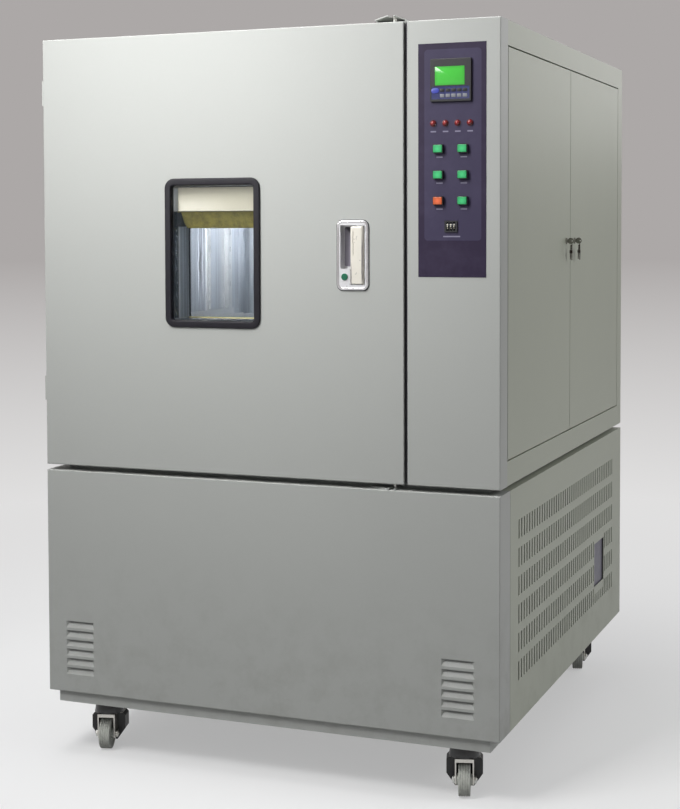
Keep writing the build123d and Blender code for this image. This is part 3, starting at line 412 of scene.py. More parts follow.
def lever_metal(f, colour):
    """Polished pull lever with painted reflections: the dark wavy lines that a curved bright face shows."""
    # Painted reflections: three dark wavy lines on the bright face
    wave = (f.streaks((8.0, 8.0, 70.0), 3.0, 0.6) - 0.5) * 0.003
    left = 1.0 - abs(f.x + wave - 0.2379).within(0.0003, 0.0011)
    left = left * f.z.within(1.248, 1.256) * (1.0 - f.z.within(1.304, 1.31))
    right = 1.0 - abs(f.x + wave * 0.4 - 0.2598).within(0.0004, 0.0016)
    right = right * f.z.within(1.186, 1.2) * (1.0 - f.z.within(1.27, 1.3))
    foot = 1.0 - abs(f.x + wave * 0.3 - 0.2335).within(0.0004, 0.0016)
    foot = foot * (1.0 - f.z.within(1.216, 1.236))
    body = f.shades(colour, f.noise(30.0, 4.0, 0.6), 0.05)
    body = f.tint(left * 0.85, body, srgb(92, 74, 44))
    body = f.tint(right.most(foot) * 0.8, body, srgb(70, 62, 84))
    return {
        "Base Color": body,
        "Metallic": 0.25,
        "Roughness": 0.24 + f.noise(60.0) * 0.1,
        "Normal": f.relief(f.noise(6.0, 2.0), 0.0004, 0.3),
        "Coat Weight": 0.3,
        "Coat Roughness": 0.1,
    }


def stained(f, colour, stain):
    """Translucent moulding with mottled upright stains and a faint painted glow."""
    blot = f.streaks((60.0, 60.0, 34.0), 5.0, 0.68).within(0.38, 0.66)
    cloud = f.noise(20.0, 4.0, 0.6)
    body = f.tint(blot * 0.8, f.shades(colour, cloud, 0.14), stain)
    return {
        "Base Color": body,
        "Roughness": 0.34 + cloud * 0.16,
        "Normal": f.relief(blot, 0.0002, 0.3),
        # Painted glow: the moulding is no lamp
        "Emission Color": body,
        "Emission Strength": 0.12,
    }


def key_metal(f, key, lock):
    """Lock barrel in the panel's tone with dark nickel keys that hang from it."""
    cloud = f.noise(90.0, 4.0, 0.6)
    hanging = 1.0 - f.z.within(1.2695, 1.2705)
    return {
        "Base Color": f.tint(hanging, f.shades(lock, cloud, 0.1), f.shades(key, cloud, 0.3)),
        "Metallic": 0.4 + cloud * 0.2,
        "Roughness": 0.3 + cloud * 0.2,
        "Normal": f.relief(cloud, 0.0002, 0.4),
    }


def plated(f, colour, rough):
    """Zinc plate with its faint yellow and blue clouds."""
    cloud = f.noise(60.0, 3.0, 0.6)
    spangle = f.cells(240.0)
    body = f.tint(cloud, tuple(c * k for c, k in zip(colour, (1.03, 0.99, 0.88))),
                  tuple(c * k for c, k in zip(colour, (0.86, 0.92, 1.0))))
    return {
        "Base Color": body,
        "Metallic": 1.0,
        "Roughness": rough + spangle * 0.18 + cloud * 0.08,
        "Normal": f.relief(spangle, 0.00008, 0.4),
    }


def plastic(f, colour, rough, grain_scale, depth, coat=0.0):
    """Moulded plastic or enamel with a spark-eroded grain."""
    grain = f.noise(grain_scale, 3.0, 0.6)
    wear = f.noise(38.0, 4.0, 0.65)
    return {
        "Base Color": f.shades(colour, grain * 0.5 + wear * 0.5, 0.12),
        "Roughness": rough + wear.within(0.35, 0.75) * 0.14,
        "Normal": f.relief(grain, depth, 0.5),
        "Coat Weight": coat,
        "Coat Roughness": 0.08,
    }


def rubber(f, colour, rough):
    """Matt rubber with chalky bloom in patches."""
    bloom = f.noise(24.0, 5.0, 0.7).within(0.42, 0.8)
    grain = f.noise(1500.0, 2.0, 0.5)
    pale = tuple(min(part * 1.8 + 0.004, 1.0) for part in colour)
    return {
        "Base Color": f.tint(bloom * 0.5, colour, pale),
        "Specular IOR Level": 0.3,
        "Roughness": rough + bloom * 0.18,
        "Normal": f.relief(grain, 0.00008, 0.6),
    }


def foam(f, colour):
    """Rigid foam with open cells."""
    cells = f.cells(900.0)
    cloud = f.noise(12.0, 4.0, 0.6)
    return {
        "Base Color": f.shades(colour, cells * 0.4 + cloud * 0.6, 0.16),
        "Roughness": 0.86 + cells * 0.1,
        "Normal": f.relief(cells, 0.0004, 0.8),
    }


def clear_pane(f, colour, cover):
    """Thin clear sheet: mostly see-through, with its gloss and a few wipe marks."""
    wipe = f.streaks((9.0, 9.0, 3.0), 4.0, 0.7).within(0.35, 0.8)
    return {
        "Base Color": f.shades(colour, wipe, 0.08),
        "Roughness": 0.02 + wipe * 0.05,
        "Alpha": cover + wipe * 0.03,
        "Specular IOR Level": 0.6,
    }


def lens(f, colour, rough, spread):
    """Coloured button cap, lighter in its middle, over the six places of the panel."""
    from_x = (f.x - KEY_XS[0] * MM).wrap((KEY_XS[1] - KEY_XS[0]) * MM)
    from_z = (f.z - KEY_ZS[0] * MM).wrap((KEY_ZS[0] - KEY_ZS[1]) * MM)
    far = (from_x.power(2.0) + from_z.power(2.0)).power(0.5)
    glow = 1.0 - far.within(0.002, 0.012)
    grain = f.noise(700.0, 2.0)
    core = tuple(min(part * 1.25 + spread, 1.0) for part in colour)
    edge = scaled(colour, 0.62)
    return {
        "Base Color": f.tint(glow * 0.8 + grain * 0.2, edge, core),
        "Roughness": rough + grain * 0.08,
        "Normal": f.relief(f.noise(420.0, 1.0), 0.00005, 0.3),
        "Coat Weight": 0.4,
        "Coat Roughness": 0.12,
        "Emission Color": (*colour, 1.0),
        "Emission Strength": 0.06,
    }


def lamp_red(f, colour):
    """Dark red translucent dome with moulded rings."""
    from_x = (f.x - LAMP_XS[0] * MM).wrap((LAMP_XS[1] - LAMP_XS[0]) * MM)
    far = (from_x.power(2.0) + (f.z - LAMP_Z * MM).power(2.0)).power(0.5)
    rings = (far * 5200.0).sine()
    deep = far.within(0.001, 0.006)
    return {
        "Base Color": f.tint(deep, colour, scaled(colour, 0.35)),
        "Roughness": 0.16 + f.noise(200.0) * 0.08,
        "Normal": f.relief(rings, 0.00012, 0.3),
        "Coat Weight": 0.6,
        "Coat Roughness": 0.05,
    }


def panel_film(f, border, field):
    """Printed polyester film: a lighter rounded field in a dark border, with plain short rules."""
    edge = f.rounded(PANEL[0] + 1.7, PANEL[1] + 34.2, 133.0, 426.5, 8.0)
    inside = 1.0 - edge.within(-0.0003, 0.0003)
    weave = f.noise(1300.0, 2.0)
    cloud = f.noise(16.0, 4.0, 0.6)
    body = f.tint(inside, border, field)
    dash = None
    for x in LAMP_XS:
        mark = f.rounded(x, LAMP_Z - 18.5, 13.0, 3.0, 0.6)
        dash = mark if dash is None else dash.least(mark)
    for x in KEY_XS:
        for z in KEY_ZS:
            dash = dash.least(f.rounded(x + 1.5, z - 18.5, 15.0, 3.0, 0.6))
    dash = dash.least(f.rounded(DIALS[0] + 1, DIALS[1] - 22.5, 40.0, 3.0, 0.6))
    ink = 1.0 - dash.within(-0.0002, 0.0002)
    body = f.tint(ink * 0.55, body, srgb(168, 164, 186))
    wear = cloud.within(0.5, 0.8)
    body = f.tint(wear * 0.1, body, srgb(120, 112, 140))
    return {
        "Base Color": body,
        "Specular IOR Level": 0.3,
        "Roughness": 0.46 + weave * 0.1 + wear * 0.12,
        "Normal": f.relief(weave + inside * 2.0, 0.00004, 0.4),
    }


def fins(f, colour):
    """Pressed condenser fins, close together, with painted shade in the narrow gaps between them."""
    comb = (f.y * 2600.0).sine()
    rows = (f.z * 260.0).sine()
    # Painted shade: the gaps between fins are darkened
    gap_shade = comb.within(-0.4, 0.7)
    return {
        "Base Color": f.tint(gap_shade, scaled(colour, 0.18), colour),
        "Metallic": 0.8,
        "Roughness": 0.42 + f.noise(60.0) * 0.2,
        "Normal": f.relief(comb * 0.7 + rows * 0.3, 0.0009, 0.7),
    }


def dial_face(f, digit):
    """Black setting wheel with a narrow pale nought at each tenth of a turn."""
    up = f.z - DIALS[1] * MM
    out = f.y - (FACE + 4.5) * MM
    turn = up.join("ARCTAN2", out * -1.0) * DIAL_RADIUS
    across = (f.x - (DIALS[0] - 7.6) * MM).wrap(7.6 * MM)
    round_it = turn.wrap(math.tau * DIAL_RADIUS / 10)
    oval = ((across / 0.0009).power(2.0) + (round_it / 0.0019).power(2.0)).power(0.5)
    ink = (1.0 - abs(oval - 0.8).within(0.25, 0.4)) * abs(up).under(0.0055)
    grime = f.noise(180.0, 4.0, 0.7)
    return {
        "Base Color": f.tint(ink, f.shades(srgb(20, 20, 24), grime, 0.2), digit),
        "Roughness": 0.34 + grime * 0.14,
        "Normal": f.relief(ink, 0.00006, 0.5),
    }


def tyre(f, colour):
    """Grey moulded tyre, scuffed, and darker in its lowest two centimetres."""
    scuff = f.noise(90.0, 5.0, 0.7)
    grain = f.noise(900.0, 2.0)
    # Darker near the floor, in the wheel's lowest two centimetres
    low = 1.0 - f.z.within(0.0, 0.02)
    scuffs_and_low_darkening = scuff.within(0.45, 0.75) * 0.5 + low * 0.35
    return {
        "Base Color": f.tint(scuffs_and_low_darkening.least(1.0), colour, scaled(colour, 0.6)),
        "Roughness": 0.55 + scuff * 0.25,
        "Normal": f.relief(scuff * 0.6 + grain * 0.4, 0.0003, 0.5),
    }


def fork_metal(f, zinc, black):
    """Zinc bracket in front with a black moulded hood behind, split in each caster's own turned frame."""
    turn = math.radians(CASTER_TURN)
    from_x = (f.x - CASTERS[3][0] * MM).wrap((CASTERS[3][0] - CASTERS[2][0]) * MM)
    from_y = (f.y - CASTERS[3][1] * MM).wrap((CASTERS[3][1] - CASTERS[1][1]) * MM)
    back = from_y * math.cos(turn) - from_x * math.sin(turn)
    moulded = back.over(-0.0082) * f.z.under(0.0846)
    cloud = f.noise(60.0, 3.0, 0.6)
    spangle = f.cells(240.0)
    grain = f.noise(700.0, 2.0)
    return {
        "Base Color": f.tint(moulded, f.shades(zinc, cloud, 0.14), f.shades(black, cloud, 0.3)),
        "Metallic": 1.0 - moulded,
        "Roughness": 0.26 + spangle * 0.14 + moulded * 0.12,
        "Normal": f.relief(spangle * (1.0 - moulded) + grain * moulded, 0.00008, 0.5),
    }


def lit_screen(f, colour):
    """Back-lit display with faint rows of dots and no reading, darker towards its edge."""
    dots = (f.x * 9000.0).sine() * (f.z * 9000.0).sine()
    cloud = f.noise(30.0, 2.0)
    # Darker within six millimetres of the screen's edge
    rim = f.rounded(*SCREEN, 68.0, 41.0, 2.0).within(-0.006, 0.0)
    body = f.tint(rim * 0.7, f.shades(colour, dots * 0.3 + cloud * 0.5, 0.1), scaled(colour, 0.7))
    return {
        "Base Color": body,
        "Roughness": 0.12 + cloud * 0.06,
        "Emission Color": body,
        "Emission Strength": 0.35,
        "Coat Weight": 0.5,
        "Coat Roughness": 0.04,
    }


def diffuser(f, colour):
    """Cream lamp cover, lit a little from within; the reveal trims that take this finish glow the same way, as painted
    light.
    """
    cloud = f.noise(22.0, 3.0, 0.6)
    body = f.shades(colour, cloud, 0.06)
    return {
        "Base Color": body,
        "Roughness": 0.3 + cloud * 0.1,
        "Normal": f.relief(f.noise(500.0), 0.00006, 0.4),
        "Emission Color": body,
        "Emission Strength": 0.08,
    }


# The function that describes each finish, and its values: a colour is a name in ChamberColours or a screen colour.
FINISHES = {
    "coat": (powder_coat, "coat", 1.0),
    "coat_clean": (powder_coat, "coat", 0.2),
    # The right side's pieces take the side colour's painted light tint
    "coat_side_painted_tint": (powder_coat, "side", 0.6),
    "pale_vent_backing": (foam, (150, 154, 142)),
    # tank_steel and reveal_steel carry painted reflection bands
    "tank_steel": (brushed, (204, 210, 218), 0.24, True, 0.5, 0.7),
    "door_steel": (brushed, (206, 206, 204), 0.18, True, 0.55),
    "shelf_steel": (brushed, (226, 228, 228), 0.3, False),
    "foam": (foam, (214, 198, 150)),
    "window_rubber": (rubber, "rubber", 0.42),
    "seal_silicone": (rubber, (122, 124, 122), 0.5),
    "pane": (clear_pane, (96, 108, 116), 0.05),
    "bright_chrome": (chrome, (236, 236, 238), 0.16),
    "green_cap": (lens, "green", 0.28, 0.05),
    "orange_cap": (lens, "orange", 0.28, 0.06),
    "release_green": (plastic, (0, 98, 70), 0.24, 700.0, 0.00005, 0.3),
    "lamp_red": (lamp_red, "red"),
    "black_mould": (plastic, (13, 13, 19), 0.42, 900.0, 0.00008),
    "dial_cream": (dial_face, (226, 220, 196)),
    "printed_film": (panel_film, "film", "field"),
    "zinc": (plated, (204, 204, 200), 0.24),
    "black_enamel": (plastic, (24, 24, 26), 0.3, 260.0, 0.00018, 0.25),
    "fork_metal": (fork_metal, (196, 194, 188), (24, 24, 26)),
    "lock_brown": (key_metal, (50, 36, 26), (132, 132, 122)),
    "pressed_fins": (fins, (190, 192, 196)),
    "motor_enamel": (plastic, (92, 98, 106), 0.4, 300.0, 0.0002),
    "breaker_case": (plastic, (104, 102, 116), 0.42, 800.0, 0.0001),
    "toggle_mould": (plastic, (30, 30, 34), 0.3, 800.0, 0.00008),
    "tyre": (tyre, (204, 206, 198)),
    "screen": (lit_screen, "screen"),
    "key_blue": (plastic, "strip", 0.34, 900.0, 0.00005),
    "key_oval": (plastic, (62, 72, 170), 0.3, 900.0, 0.00005),
    "key_grey": (plastic, (126, 128, 134), 0.36, 900.0, 0.00006),
    "reveal_steel": (brushed, (214, 222, 232), 0.3, True, 0.1, 0.7, 160.0, 0.2),
    "tank_wall": (tank_wall, (206, 212, 220)),
    "reveal_dark": (plastic, (18, 24, 40), 0.2, 500.0, 0.00004, 0.4),
    # The white and cream reveal trims glow though they are no lamp: painted highlight and painted glow
    "reveal_painted_highlight": (diffuser, (226, 230, 236)),
    "reveal_cream_painted_glow": (diffuser, (206, 198, 140)),
    "tray_metal": (tray_metal, (226, 226, 228), (150, 146, 158)),
    "lever_metal": (lever_metal, (232, 228, 216)),
    "lamp_cover": (diffuser, (200, 196, 176)),
    "lamp_hood": (stained, (146, 138, 62), (96, 84, 34)),
    "duct_grey": (plastic, (168, 172, 176), 0.44, 600.0, 0.0001),
    "wire_black": (plastic, (28, 28, 30), 0.36, 900.0, 0.00004),
    "contactor_grey": (plastic, (88, 92, 98), 0.4, 500.0, 0.0001),
    "terminal_cream": (plastic, (196, 190, 168), 0.42, 500.0, 0.0001),
    "wire_red": (plastic, (168, 30, 26), 0.36, 900.0, 0.00004),
}


def numbered(stem, numbers):
    return tuple("%s_%d" % (stem, number) for number in numbers)


NODE_FINISH = {
    "coat": ("chassis", "lower_front_panel", "lower_left_panel", "lower_back_panel"),
    "coat_clean": ("outer_shell", "column_front", "door_shell", "catch_plates", "hinge_fixed", "hinge_moving"),
    "coat_side_painted_tint": ("lower_right_panel", "side_frame", "side_door_front", "side_door_rear"),
    "tank_wall": ("liner",),
    "tank_steel": ("rear_baffle",),
    "door_steel": ("door_plug",),
    "shelf_steel": ("shelf_ladders", "shelf", "circulation_fan"),
    "foam": ("insulation",),
    "seal_silicone": ("door_seal",),
    "pane": ("window_panes",),
    "window_rubber": ("window_frame",),
    "tray_metal": ("latch_tray",),
    "lever_metal": ("latch_lever",),
    "release_green": ("latch_button",),
    "green_cap": numbered("push_button", (1, 2, 3, 4, 6)),
    "orange_cap": ("push_button_5",),
    "lamp_red": ("lamps",),
    "black_mould": ("switch_collars", "dial_case", "controller"),
    "dial_cream": numbered("setting_dial", (1, 2, 3)),
    "printed_film": ("control_overlay",),
    "zinc": ("bolt_upper", "bolt_lower"),
    "lock_brown": ("side_lock_front", "side_lock_rear"),
    "black_enamel": ("compressor", "condenser_fan", "caster_plates"),
    "fork_metal": numbered("caster_fork", (1, 2, 3, 4)),
    "pressed_fins": ("condenser",),
    "motor_enamel": ("fan_motor",),
    "breaker_case": ("breaker",),
    "toggle_mould": ("breaker_toggle",),
    "tyre": numbered("caster_wheel", (1, 2, 3, 4)),
}
# The record's material slot for the new pieces of a finish; settle looks it up but gives it to no piece
SLOTS = {"window_rubber": "black_rubber", "zinc": "zinc_steel", "lock_brown": "zinc_steel", "tyre": "wheel_grey",
         "bright_chrome": "chrome", "shelf_steel": "stainless", "breaker_case": "breaker_grey"}
EASED = ("catch_plates", "hinge_fixed", "hinge_moving", "latch_tray", "latch_lever", "side_lock_front",
         "side_lock_rear", "breaker", "breaker_toggle", "switch_collars", "dial_case", "condenser",
         *numbered("caster_fork", (1, 2, 3, 4)), "caster_plates")


def as_colour(value):
    """A named or a screen colour in linear values; any other value as it is."""
    if isinstance(value, str):
        return tuple(getattr(colours(), value))
    return srgb(*value) if isinstance(value, tuple) else value


def finish(name):
    """The material of that name, made the first time it is asked for."""
    ready = bpy.data.materials.get(name)
    if ready:
        return ready
    describe, *values = FINISHES[name]
    made = Finish(name)
    return made.close(describe(made, *(as_colour(value) for value in values)))


def let_go():
    """Leaves edit mode and deselects everything."""
    if bpy.context.object and bpy.context.object.mode != "OBJECT":
        bpy.ops.object.mode_set(mode="OBJECT")
    bpy.ops.object.select_all(action="DESELECT")


def take(obj):
    let_go()
    obj.select_set(True)
    bpy.context.view_layer.objects.active = obj


class Bench:
    """One new piece on the bench: a primitive that is cut, inset, extruded and eased. Millimetres."""

    def __init__(self, obj, name):
        self.obj = obj
        obj.name = name
        obj.data.name = name
        bpy.ops.object.transform_apply(location=True, rotation=True, scale=True)
        bpy.ops.object.mode_set(mode="EDIT")

    @classmethod
    def block(cls, name, x0, x1, y0, y1, z0, z1):
        let_go()
        middle = ((x0 + x1) / 2 * MM, (y0 + y1) / 2 * MM, (z0 + z1) / 2 * MM)
        bpy.ops.mesh.primitive_cube_add(size=1, location=middle)
        bpy.context.object.scale = ((x1 - x0) * MM, (y1 - y0) * MM, (z1 - z0) * MM)
        return cls(bpy.context.object, name)

    @classmethod
    def rod(cls, name, axis, centre, radius, low, high, sides):
        """A cylinder along an axis from low to high; centre gives the other two coordinates in order."""
        let_go()
        turn = {"x": (0, math.pi / 2, 0), "y": (math.pi / 2, 0, 0), "z": (0, 0, 0)}[axis]
        spot = list(centre)
        spot.insert("xyz".index(axis), (low + high) / 2)
        bpy.ops.mesh.primitive_cylinder_add(vertices=sides, radius=radius * MM, depth=(high - low) * MM,
                                            location=[value * MM for value in spot], rotation=turn)
        return cls(bpy.context.object, name)

    @classmethod
    def front_outline(cls, name, x, z, width, height, radius, y, steps):
        """A flat rounded field that faces the front."""
        let_go()
        bpy.ops.mesh.primitive_plane_add(size=1, location=(x * MM, y * MM, z * MM), rotation=(math.pi / 2, 0, 0))
        bpy.context.object.scale = (width * MM, height * MM, 1)
        made = cls(bpy.context.object, name)
        bpy.ops.mesh.select_all(action="SELECT")
        bpy.ops.mesh.bevel(offset=radius * MM, segments=steps, affect="VERTICES")
        bpy.ops.mesh.select_all(action="SELECT")
        return made

    def pick(self, kind, test):
        """Selects the faces or the edges that pass the test."""
        bpy.ops.mesh.select_mode(type=kind)
        mesh = bmesh.from_edit_mesh(self.obj.data)
        bpy.ops.mesh.select_all(action="DESELECT")
        for item in mesh.faces if kind == "FACE" else mesh.edges:
            item.select_set(bool(test(item)))
        bmesh.update_edit_mesh(self.obj.data)
        return self

    def faces(self, test):
        """Selects the faces whose middle (mm) and normal pass the test."""
        return self.pick("FACE", lambda face: test(face.calc_center_median() / MM, face.normal))

    def facing(self, way):
        """Selects the faces that look along +x, -y and so on, or both ways along an axis without a sign."""
        axis = "xyz".index(way[-1])
        sign = {"+": 1, "-": -1}.get(way[0])
        return self.faces(lambda middle, normal: (sign * normal[axis] if sign else abs(normal[axis])) > 0.9)

    def edges(self, test):
        """Selects the edges whose ends (mm) pass the test."""
        return self.pick("EDGE", lambda edge: test(edge.verts[0].co / MM, edge.verts[1].co / MM))

    def extrude(self, y):
        bpy.ops.mesh.extrude_region_move(TRANSFORM_OT_translate={"value": (0, y * MM, 0)})
        return self

    def move(self, x=0.0, y=0.0):
        bpy.ops.transform.translate(value=(x * MM, y * MM, 0))
        return self

    def inset(self, thickness, depth=0.0, each=False):
        bpy.ops.mesh.inset(thickness=thickness * MM, depth=depth * MM, use_individual=each)
        return self

    def bevel(self, width, steps):
        bpy.ops.mesh.bevel(offset=width * MM, segments=steps, affect="EDGES")
        return self

    def cut(self, axis, *places):
        """Cuts the whole piece square to an axis at each place."""
        spot = "xyz".index(axis)
        for place in places:
            bpy.ops.mesh.select_all(action="SELECT")
            bpy.ops.mesh.bisect(plane_co=[place * MM * (i == spot) for i in range(3)],
                                plane_no=[float(i == spot) for i in range(3)])
        return self

    def grow(self, x=1.0, y=1.0, z=1.0, about=(0, 0, 0)):
        bpy.ops.transform.resize(value=(x, y, z), center_override=[value * MM for value in about])
        return self

    def outward(self):
        bpy.ops.mesh.select_all(action="SELECT")
        bpy.ops.mesh.remove_doubles(threshold=0.000001)
        bpy.ops.mesh.normals_make_consistent(inside=False)
        return self

    def ease(self, width, steps=2, angle=35.0):
        """Turns the faces outward and rounds every edge sharper than the angle."""
        self.outward()
        bpy.ops.object.mode_set(mode="OBJECT")
        take(self.obj)
        soft = self.obj.modifiers.new("Ease", "BEVEL")
        soft.width = width * MM
        soft.segments = steps
        soft.limit_method = "ANGLE"
        soft.angle_limit = math.radians(angle)
        bpy.ops.object.modifier_apply(modifier=soft.name)
        bpy.ops.object.mode_set(mode="EDIT")
        return self

    def settle(self, body, finish_name, slot=None):
        """Ends the piece: normals, shading, finish and the body that it rides on."""
        self.outward()
        take(self.obj)
        bpy.ops.object.shade_smooth_by_angle(angle=math.radians(38))
        slot = slot or SLOTS.get(finish_name)
        self.obj.data.materials.append(finish(finish_name))
        if body:
            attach(self.obj, body)
        return self.obj


def shift(x, y, z):
    """A move in millimetres."""
    return Matrix.Translation(Vector((x, y, z)) * MM)


def copy_to(obj, name, move, body):
    """A copy with its own mesh, moved in its mesh, that rides a body."""
    made = obj.copy()
    made.data = obj.data.copy()
    made.name = name
    made.data.name = name
    made.data.transform(move)
    bpy.context.scene.collection.objects.link(made)
    made.parent = None
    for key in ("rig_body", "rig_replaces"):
        if key in made:
            del made[key]
    made.matrix_world = Matrix.Identity(4)
    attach(made, body)
    return made


def row(obj, stem, count, pitch):
    """Copies of a piece of the cabinet, numbered from 2 up to count, each a pitch further back."""
    for number in range(2, count + 1):
        copy_to(obj, "%s_%d" % (stem, number), shift(0, pitch * (number - 1), 0), "cabinet")


def to_casters(obj, stem, part, replaced=None):
    """Copies a piece made round the origin to each caster, turned as the casters stand."""
    for number, (x, y) in enumerate(CASTERS, 1):
        move = shift(x, y, 0) @ Matrix.Rotation(math.radians(CASTER_TURN), 4, "Z")
        made = copy_to(obj, "%s_%d" % (stem, number), move, "caster_%d_%s" % (number, part))
        if replaced:
            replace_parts(made, "%s_%d" % (replaced, number))
    bpy.data.objects.remove(obj)


def ring(name, centre, form, y0, y1, steps):
    """A rounded frame of a given form that faces the front, from y0 in front to y1 behind."""
    width, height, radius, band = form
    made = Bench.front_outline(name, *centre, width, height, radius, y1, steps).inset(band)
    bpy.ops.mesh.delete(type="FACE")
    bpy.ops.mesh.select_all(action="SELECT")
    return made.extrude(y0 - y1)


class CHAMBER_OT_finish_nodes(bpy.types.Operator):
    """Gives each CAD node its finish and eases the edges of the small metal and moulded nodes"""

    bl_idname = "chamber.finish_nodes"
    bl_label = "Finish the CAD nodes"

    def execute(self, context):
        for finish_name, names in NODE_FINISH.items():
            for name in names:
                obj = frame["nodes"][name]
                if not obj.material_slots:
                    raise RuntimeError("no material slot on " + name)
                for slot in obj.material_slots:
                    slot.material = finish(finish_name)
        missing = set(frame["nodes"]) - {name for names in NODE_FINISH.values() for name in names}
        if missing:
            raise RuntimeError("no finish for " + ", ".join(sorted(missing)))
        for name in EASED:
            obj = frame["nodes"][name]
            weld = obj.modifiers.new("Weld", "WELD")
            weld.merge_threshold = 0.00001
            soft = obj.modifiers.new("Ease", "BEVEL")
            soft.width = sizes().edge_ease * 0.6
            soft.segments = 2
            soft.limit_method = "ANGLE"
            soft.angle_limit = math.radians(40)
        return {"FINISHED"}


class CHAMBER_OT_window(bpy.types.Operator):
    """Rolled rubber surround, pane bead, reveal trims, lamp housing and the slotted standard seen behind them"""

    bl_idname = "chamber.window"
    bl_label = "Make the window pieces"

    def execute(self, context):
        x, z = WINDOW
        left, right, foot = x - 108, x + 107, z - 160
        self.rubber()
        self.reveal(left, right, foot)
        self.lamp_housing(x, right)
        self.standard()
        # A black block at the lamp hood's left end, which fills the dark wedge there: painted shade
        dark_block = Bench.block("hood_end_dark_block", x - 107, x - 95, -634, -594, 1318, LAMP_HOUSING_Z)
        dark_block.facing("-y").inset(2.0, -0.8).ease(0.8).settle("main_door", "black_mould")
        return {"FINISHED"}

    def rubber(self):
        rim = ring("window_rubber", WINDOW, RIM, FRONT - 5, FRONT + 0.4, 10)
        rim.ease(sizes().rubber_roll / MM, 6, 60)
        rim.settle("main_door", "window_rubber")
        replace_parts(rim.obj, "window_frame")
        sleeve = ring("window_sleeve", WINDOW, SLEEVE, FRONT + 0.3, FRONT + 9.6, 8)
        sleeve.ease(0.6).settle("main_door", "window_rubber")
        bead = ring("inner_pane_bead", WINDOW, PANE_BEAD, INNER_PANE + 0.5, INNER_PANE + 3.6, 6)
        bead.ease(1.0, 3).settle("main_door", "window_rubber")

    def reveal(self, left, right, foot):
        """Thin trims against the left side and the foot of the hollow between the panes; the white ones are painted
        highlights and the cream edge has a painted glow.
        """
        top = LAMP_HOUSING_Z - 1
        for name, box, finish_name in (
            ("reveal_left", (left + 0.1, left + 1.2, OUTER_PANE, -624, foot, top), "reveal_dark"),
            ("reveal_left_edge", (left + 0.1, left + 2.4, -624, -620, foot, top), "reveal_painted_highlight"),
            ("reveal_left_wall", (left + 0.1, left + 0.9, -619, INNER_PANE, foot, top), "reveal_steel"),
            ("reveal_left_top", (left + 0.1, left + 1.6, OUTER_PANE, INNER_PANE, LAMP_HOUSING_Z, 1410), "reveal_painted_highlight"),
            ("reveal_foot", (left + 4, right, OUTER_PANE, -577, foot + 0.1, foot + 1.2), "reveal_dark"),
            ("reveal_foot_edge", (left + 4, right, -577, -571, foot + 0.1, foot + 3.4), "reveal_cream_painted_glow"),
        ):
            Bench.block(name, *box).ease(0.3).settle("main_door", finish_name)

    def lamp_housing(self, x, right):
        """Cream cover in the upper part of the window, over a stained hood that leans back."""
        cover = Bench.block("window_lamp_cover", x - 100, right, -640, -588, LAMP_HOUSING_Z + 0.4, 1412)
        cover.facing("-z").inset(3, 1.2).facing("-y").inset(1.6, -0.8)
        cover.ease(1.2, 3).settle("main_door", "lamp_cover")
        hood = Bench.block("window_lamp_hood", x - 105, right, -636, -592, 1314.4, LAMP_HOUSING_Z)
        hood.edges(lambda a, b: a.z < 1317 and b.z < 1317 and a.y < -630 and b.y < -630).move(y=26)
        hood.edges(lambda a, b: a.x < x - 100 and b.x < x - 100 and abs(a.z - b.z) < 1 and a.z < 1320).move(x=14)
        hood.faces(lambda middle, normal: normal.y < -0.5).inset(2.4, -1.0)
        hood.ease(1.4, 3).settle("main_door", "lamp_hood")

    def standard(self):
        first, pitch, slot = 870, 24, 15
        post = Bench.block("slotted_standard", -459.2, -455.0, -14, 10, 853, 1653)
        for place in range(first, 1650, pitch):
            post.cut("z", place, place + slot)
        post.cut("y", -7, 3)
        post.faces(lambda middle, normal: normal.x > 0.9 and -7 < middle.y < 3
                   and (middle.z - first) % pitch < slot and first < middle.z < 1649)
        post.inset(0.8, -3.0, each=True).outward().settle("cabinet", "shelf_steel")


class CHAMBER_OT_controller(bpy.types.Operator):
    """Screen, key strip, oval key and small keys of the panel controller"""

    bl_idname = "chamber.controller"
    bl_label = "Make the controller face"

    def execute(self, context):
        face = FACE - 6.3
        glass = Bench.front_outline("controller_screen", *SCREEN, 69.0, 42.0, 1.6, FACE - 4.55, 4)
        glass.extrude(-0.9).ease(0.35).settle("cabinet", "screen")
        strip = Bench.front_outline("key_strip", CONTROLLER_X - 0.3, 1614.0, 88.0, 28.0, 2.2, FACE - 5.9, 5)
        strip.extrude(-0.45).inset(1.2, -0.15).outward().settle("cabinet", "key_blue")
        oval = Bench.front_outline("oval_key", 435.5, 1619.0, 18.0, 11.5, 5.7, face, 10)
        oval.extrude(-0.9).ease(0.4, 3).settle("cabinet", "key_oval")
        upper = Bench.front_outline("upper_key_1", 452.0, 1619.5, 10.5, 7.0, 1.4, face, 4)
        upper = upper.extrude(-0.7).ease(0.3).settle("cabinet", "black_mould", "black_plastic")
        lower = Bench.front_outline("lower_key_1", 452.0, 1607.5, 10.5, 7.5, 1.4, face, 4)
        lower = lower.extrude(-0.9).ease(0.35).settle("cabinet", "key_grey")
        for place in range(1, 5):
            for key, stem in ((upper, "upper_key"), (lower, "lower_key")):
                copy_to(key, "%s_%d" % (stem, place + 1), shift(SMALL_KEY_PITCH * place, 0, 0), "cabinet")
        return {"FINISHED"}


class CHAMBER_OT_latch(bpy.types.Operator):
    """Black gasket and bright bead round the flush latch"""

    bl_idname = "chamber.latch"
    bl_label = "Make the latch pieces"

    def execute(self, context):
        gasket = ring("latch_gasket", LATCH, GASKET, FRONT - 0.9, FRONT, 8)
        gasket.ease(0.3).settle("main_door", "window_rubber")
        bead = ring("latch_bead", LATCH, LATCH_BEAD, FRONT - 5.0, FRONT - 3.8, 8)
        bead.ease(0.55, 3).settle("main_door", "bright_chrome")
        return {"FINISHED"}


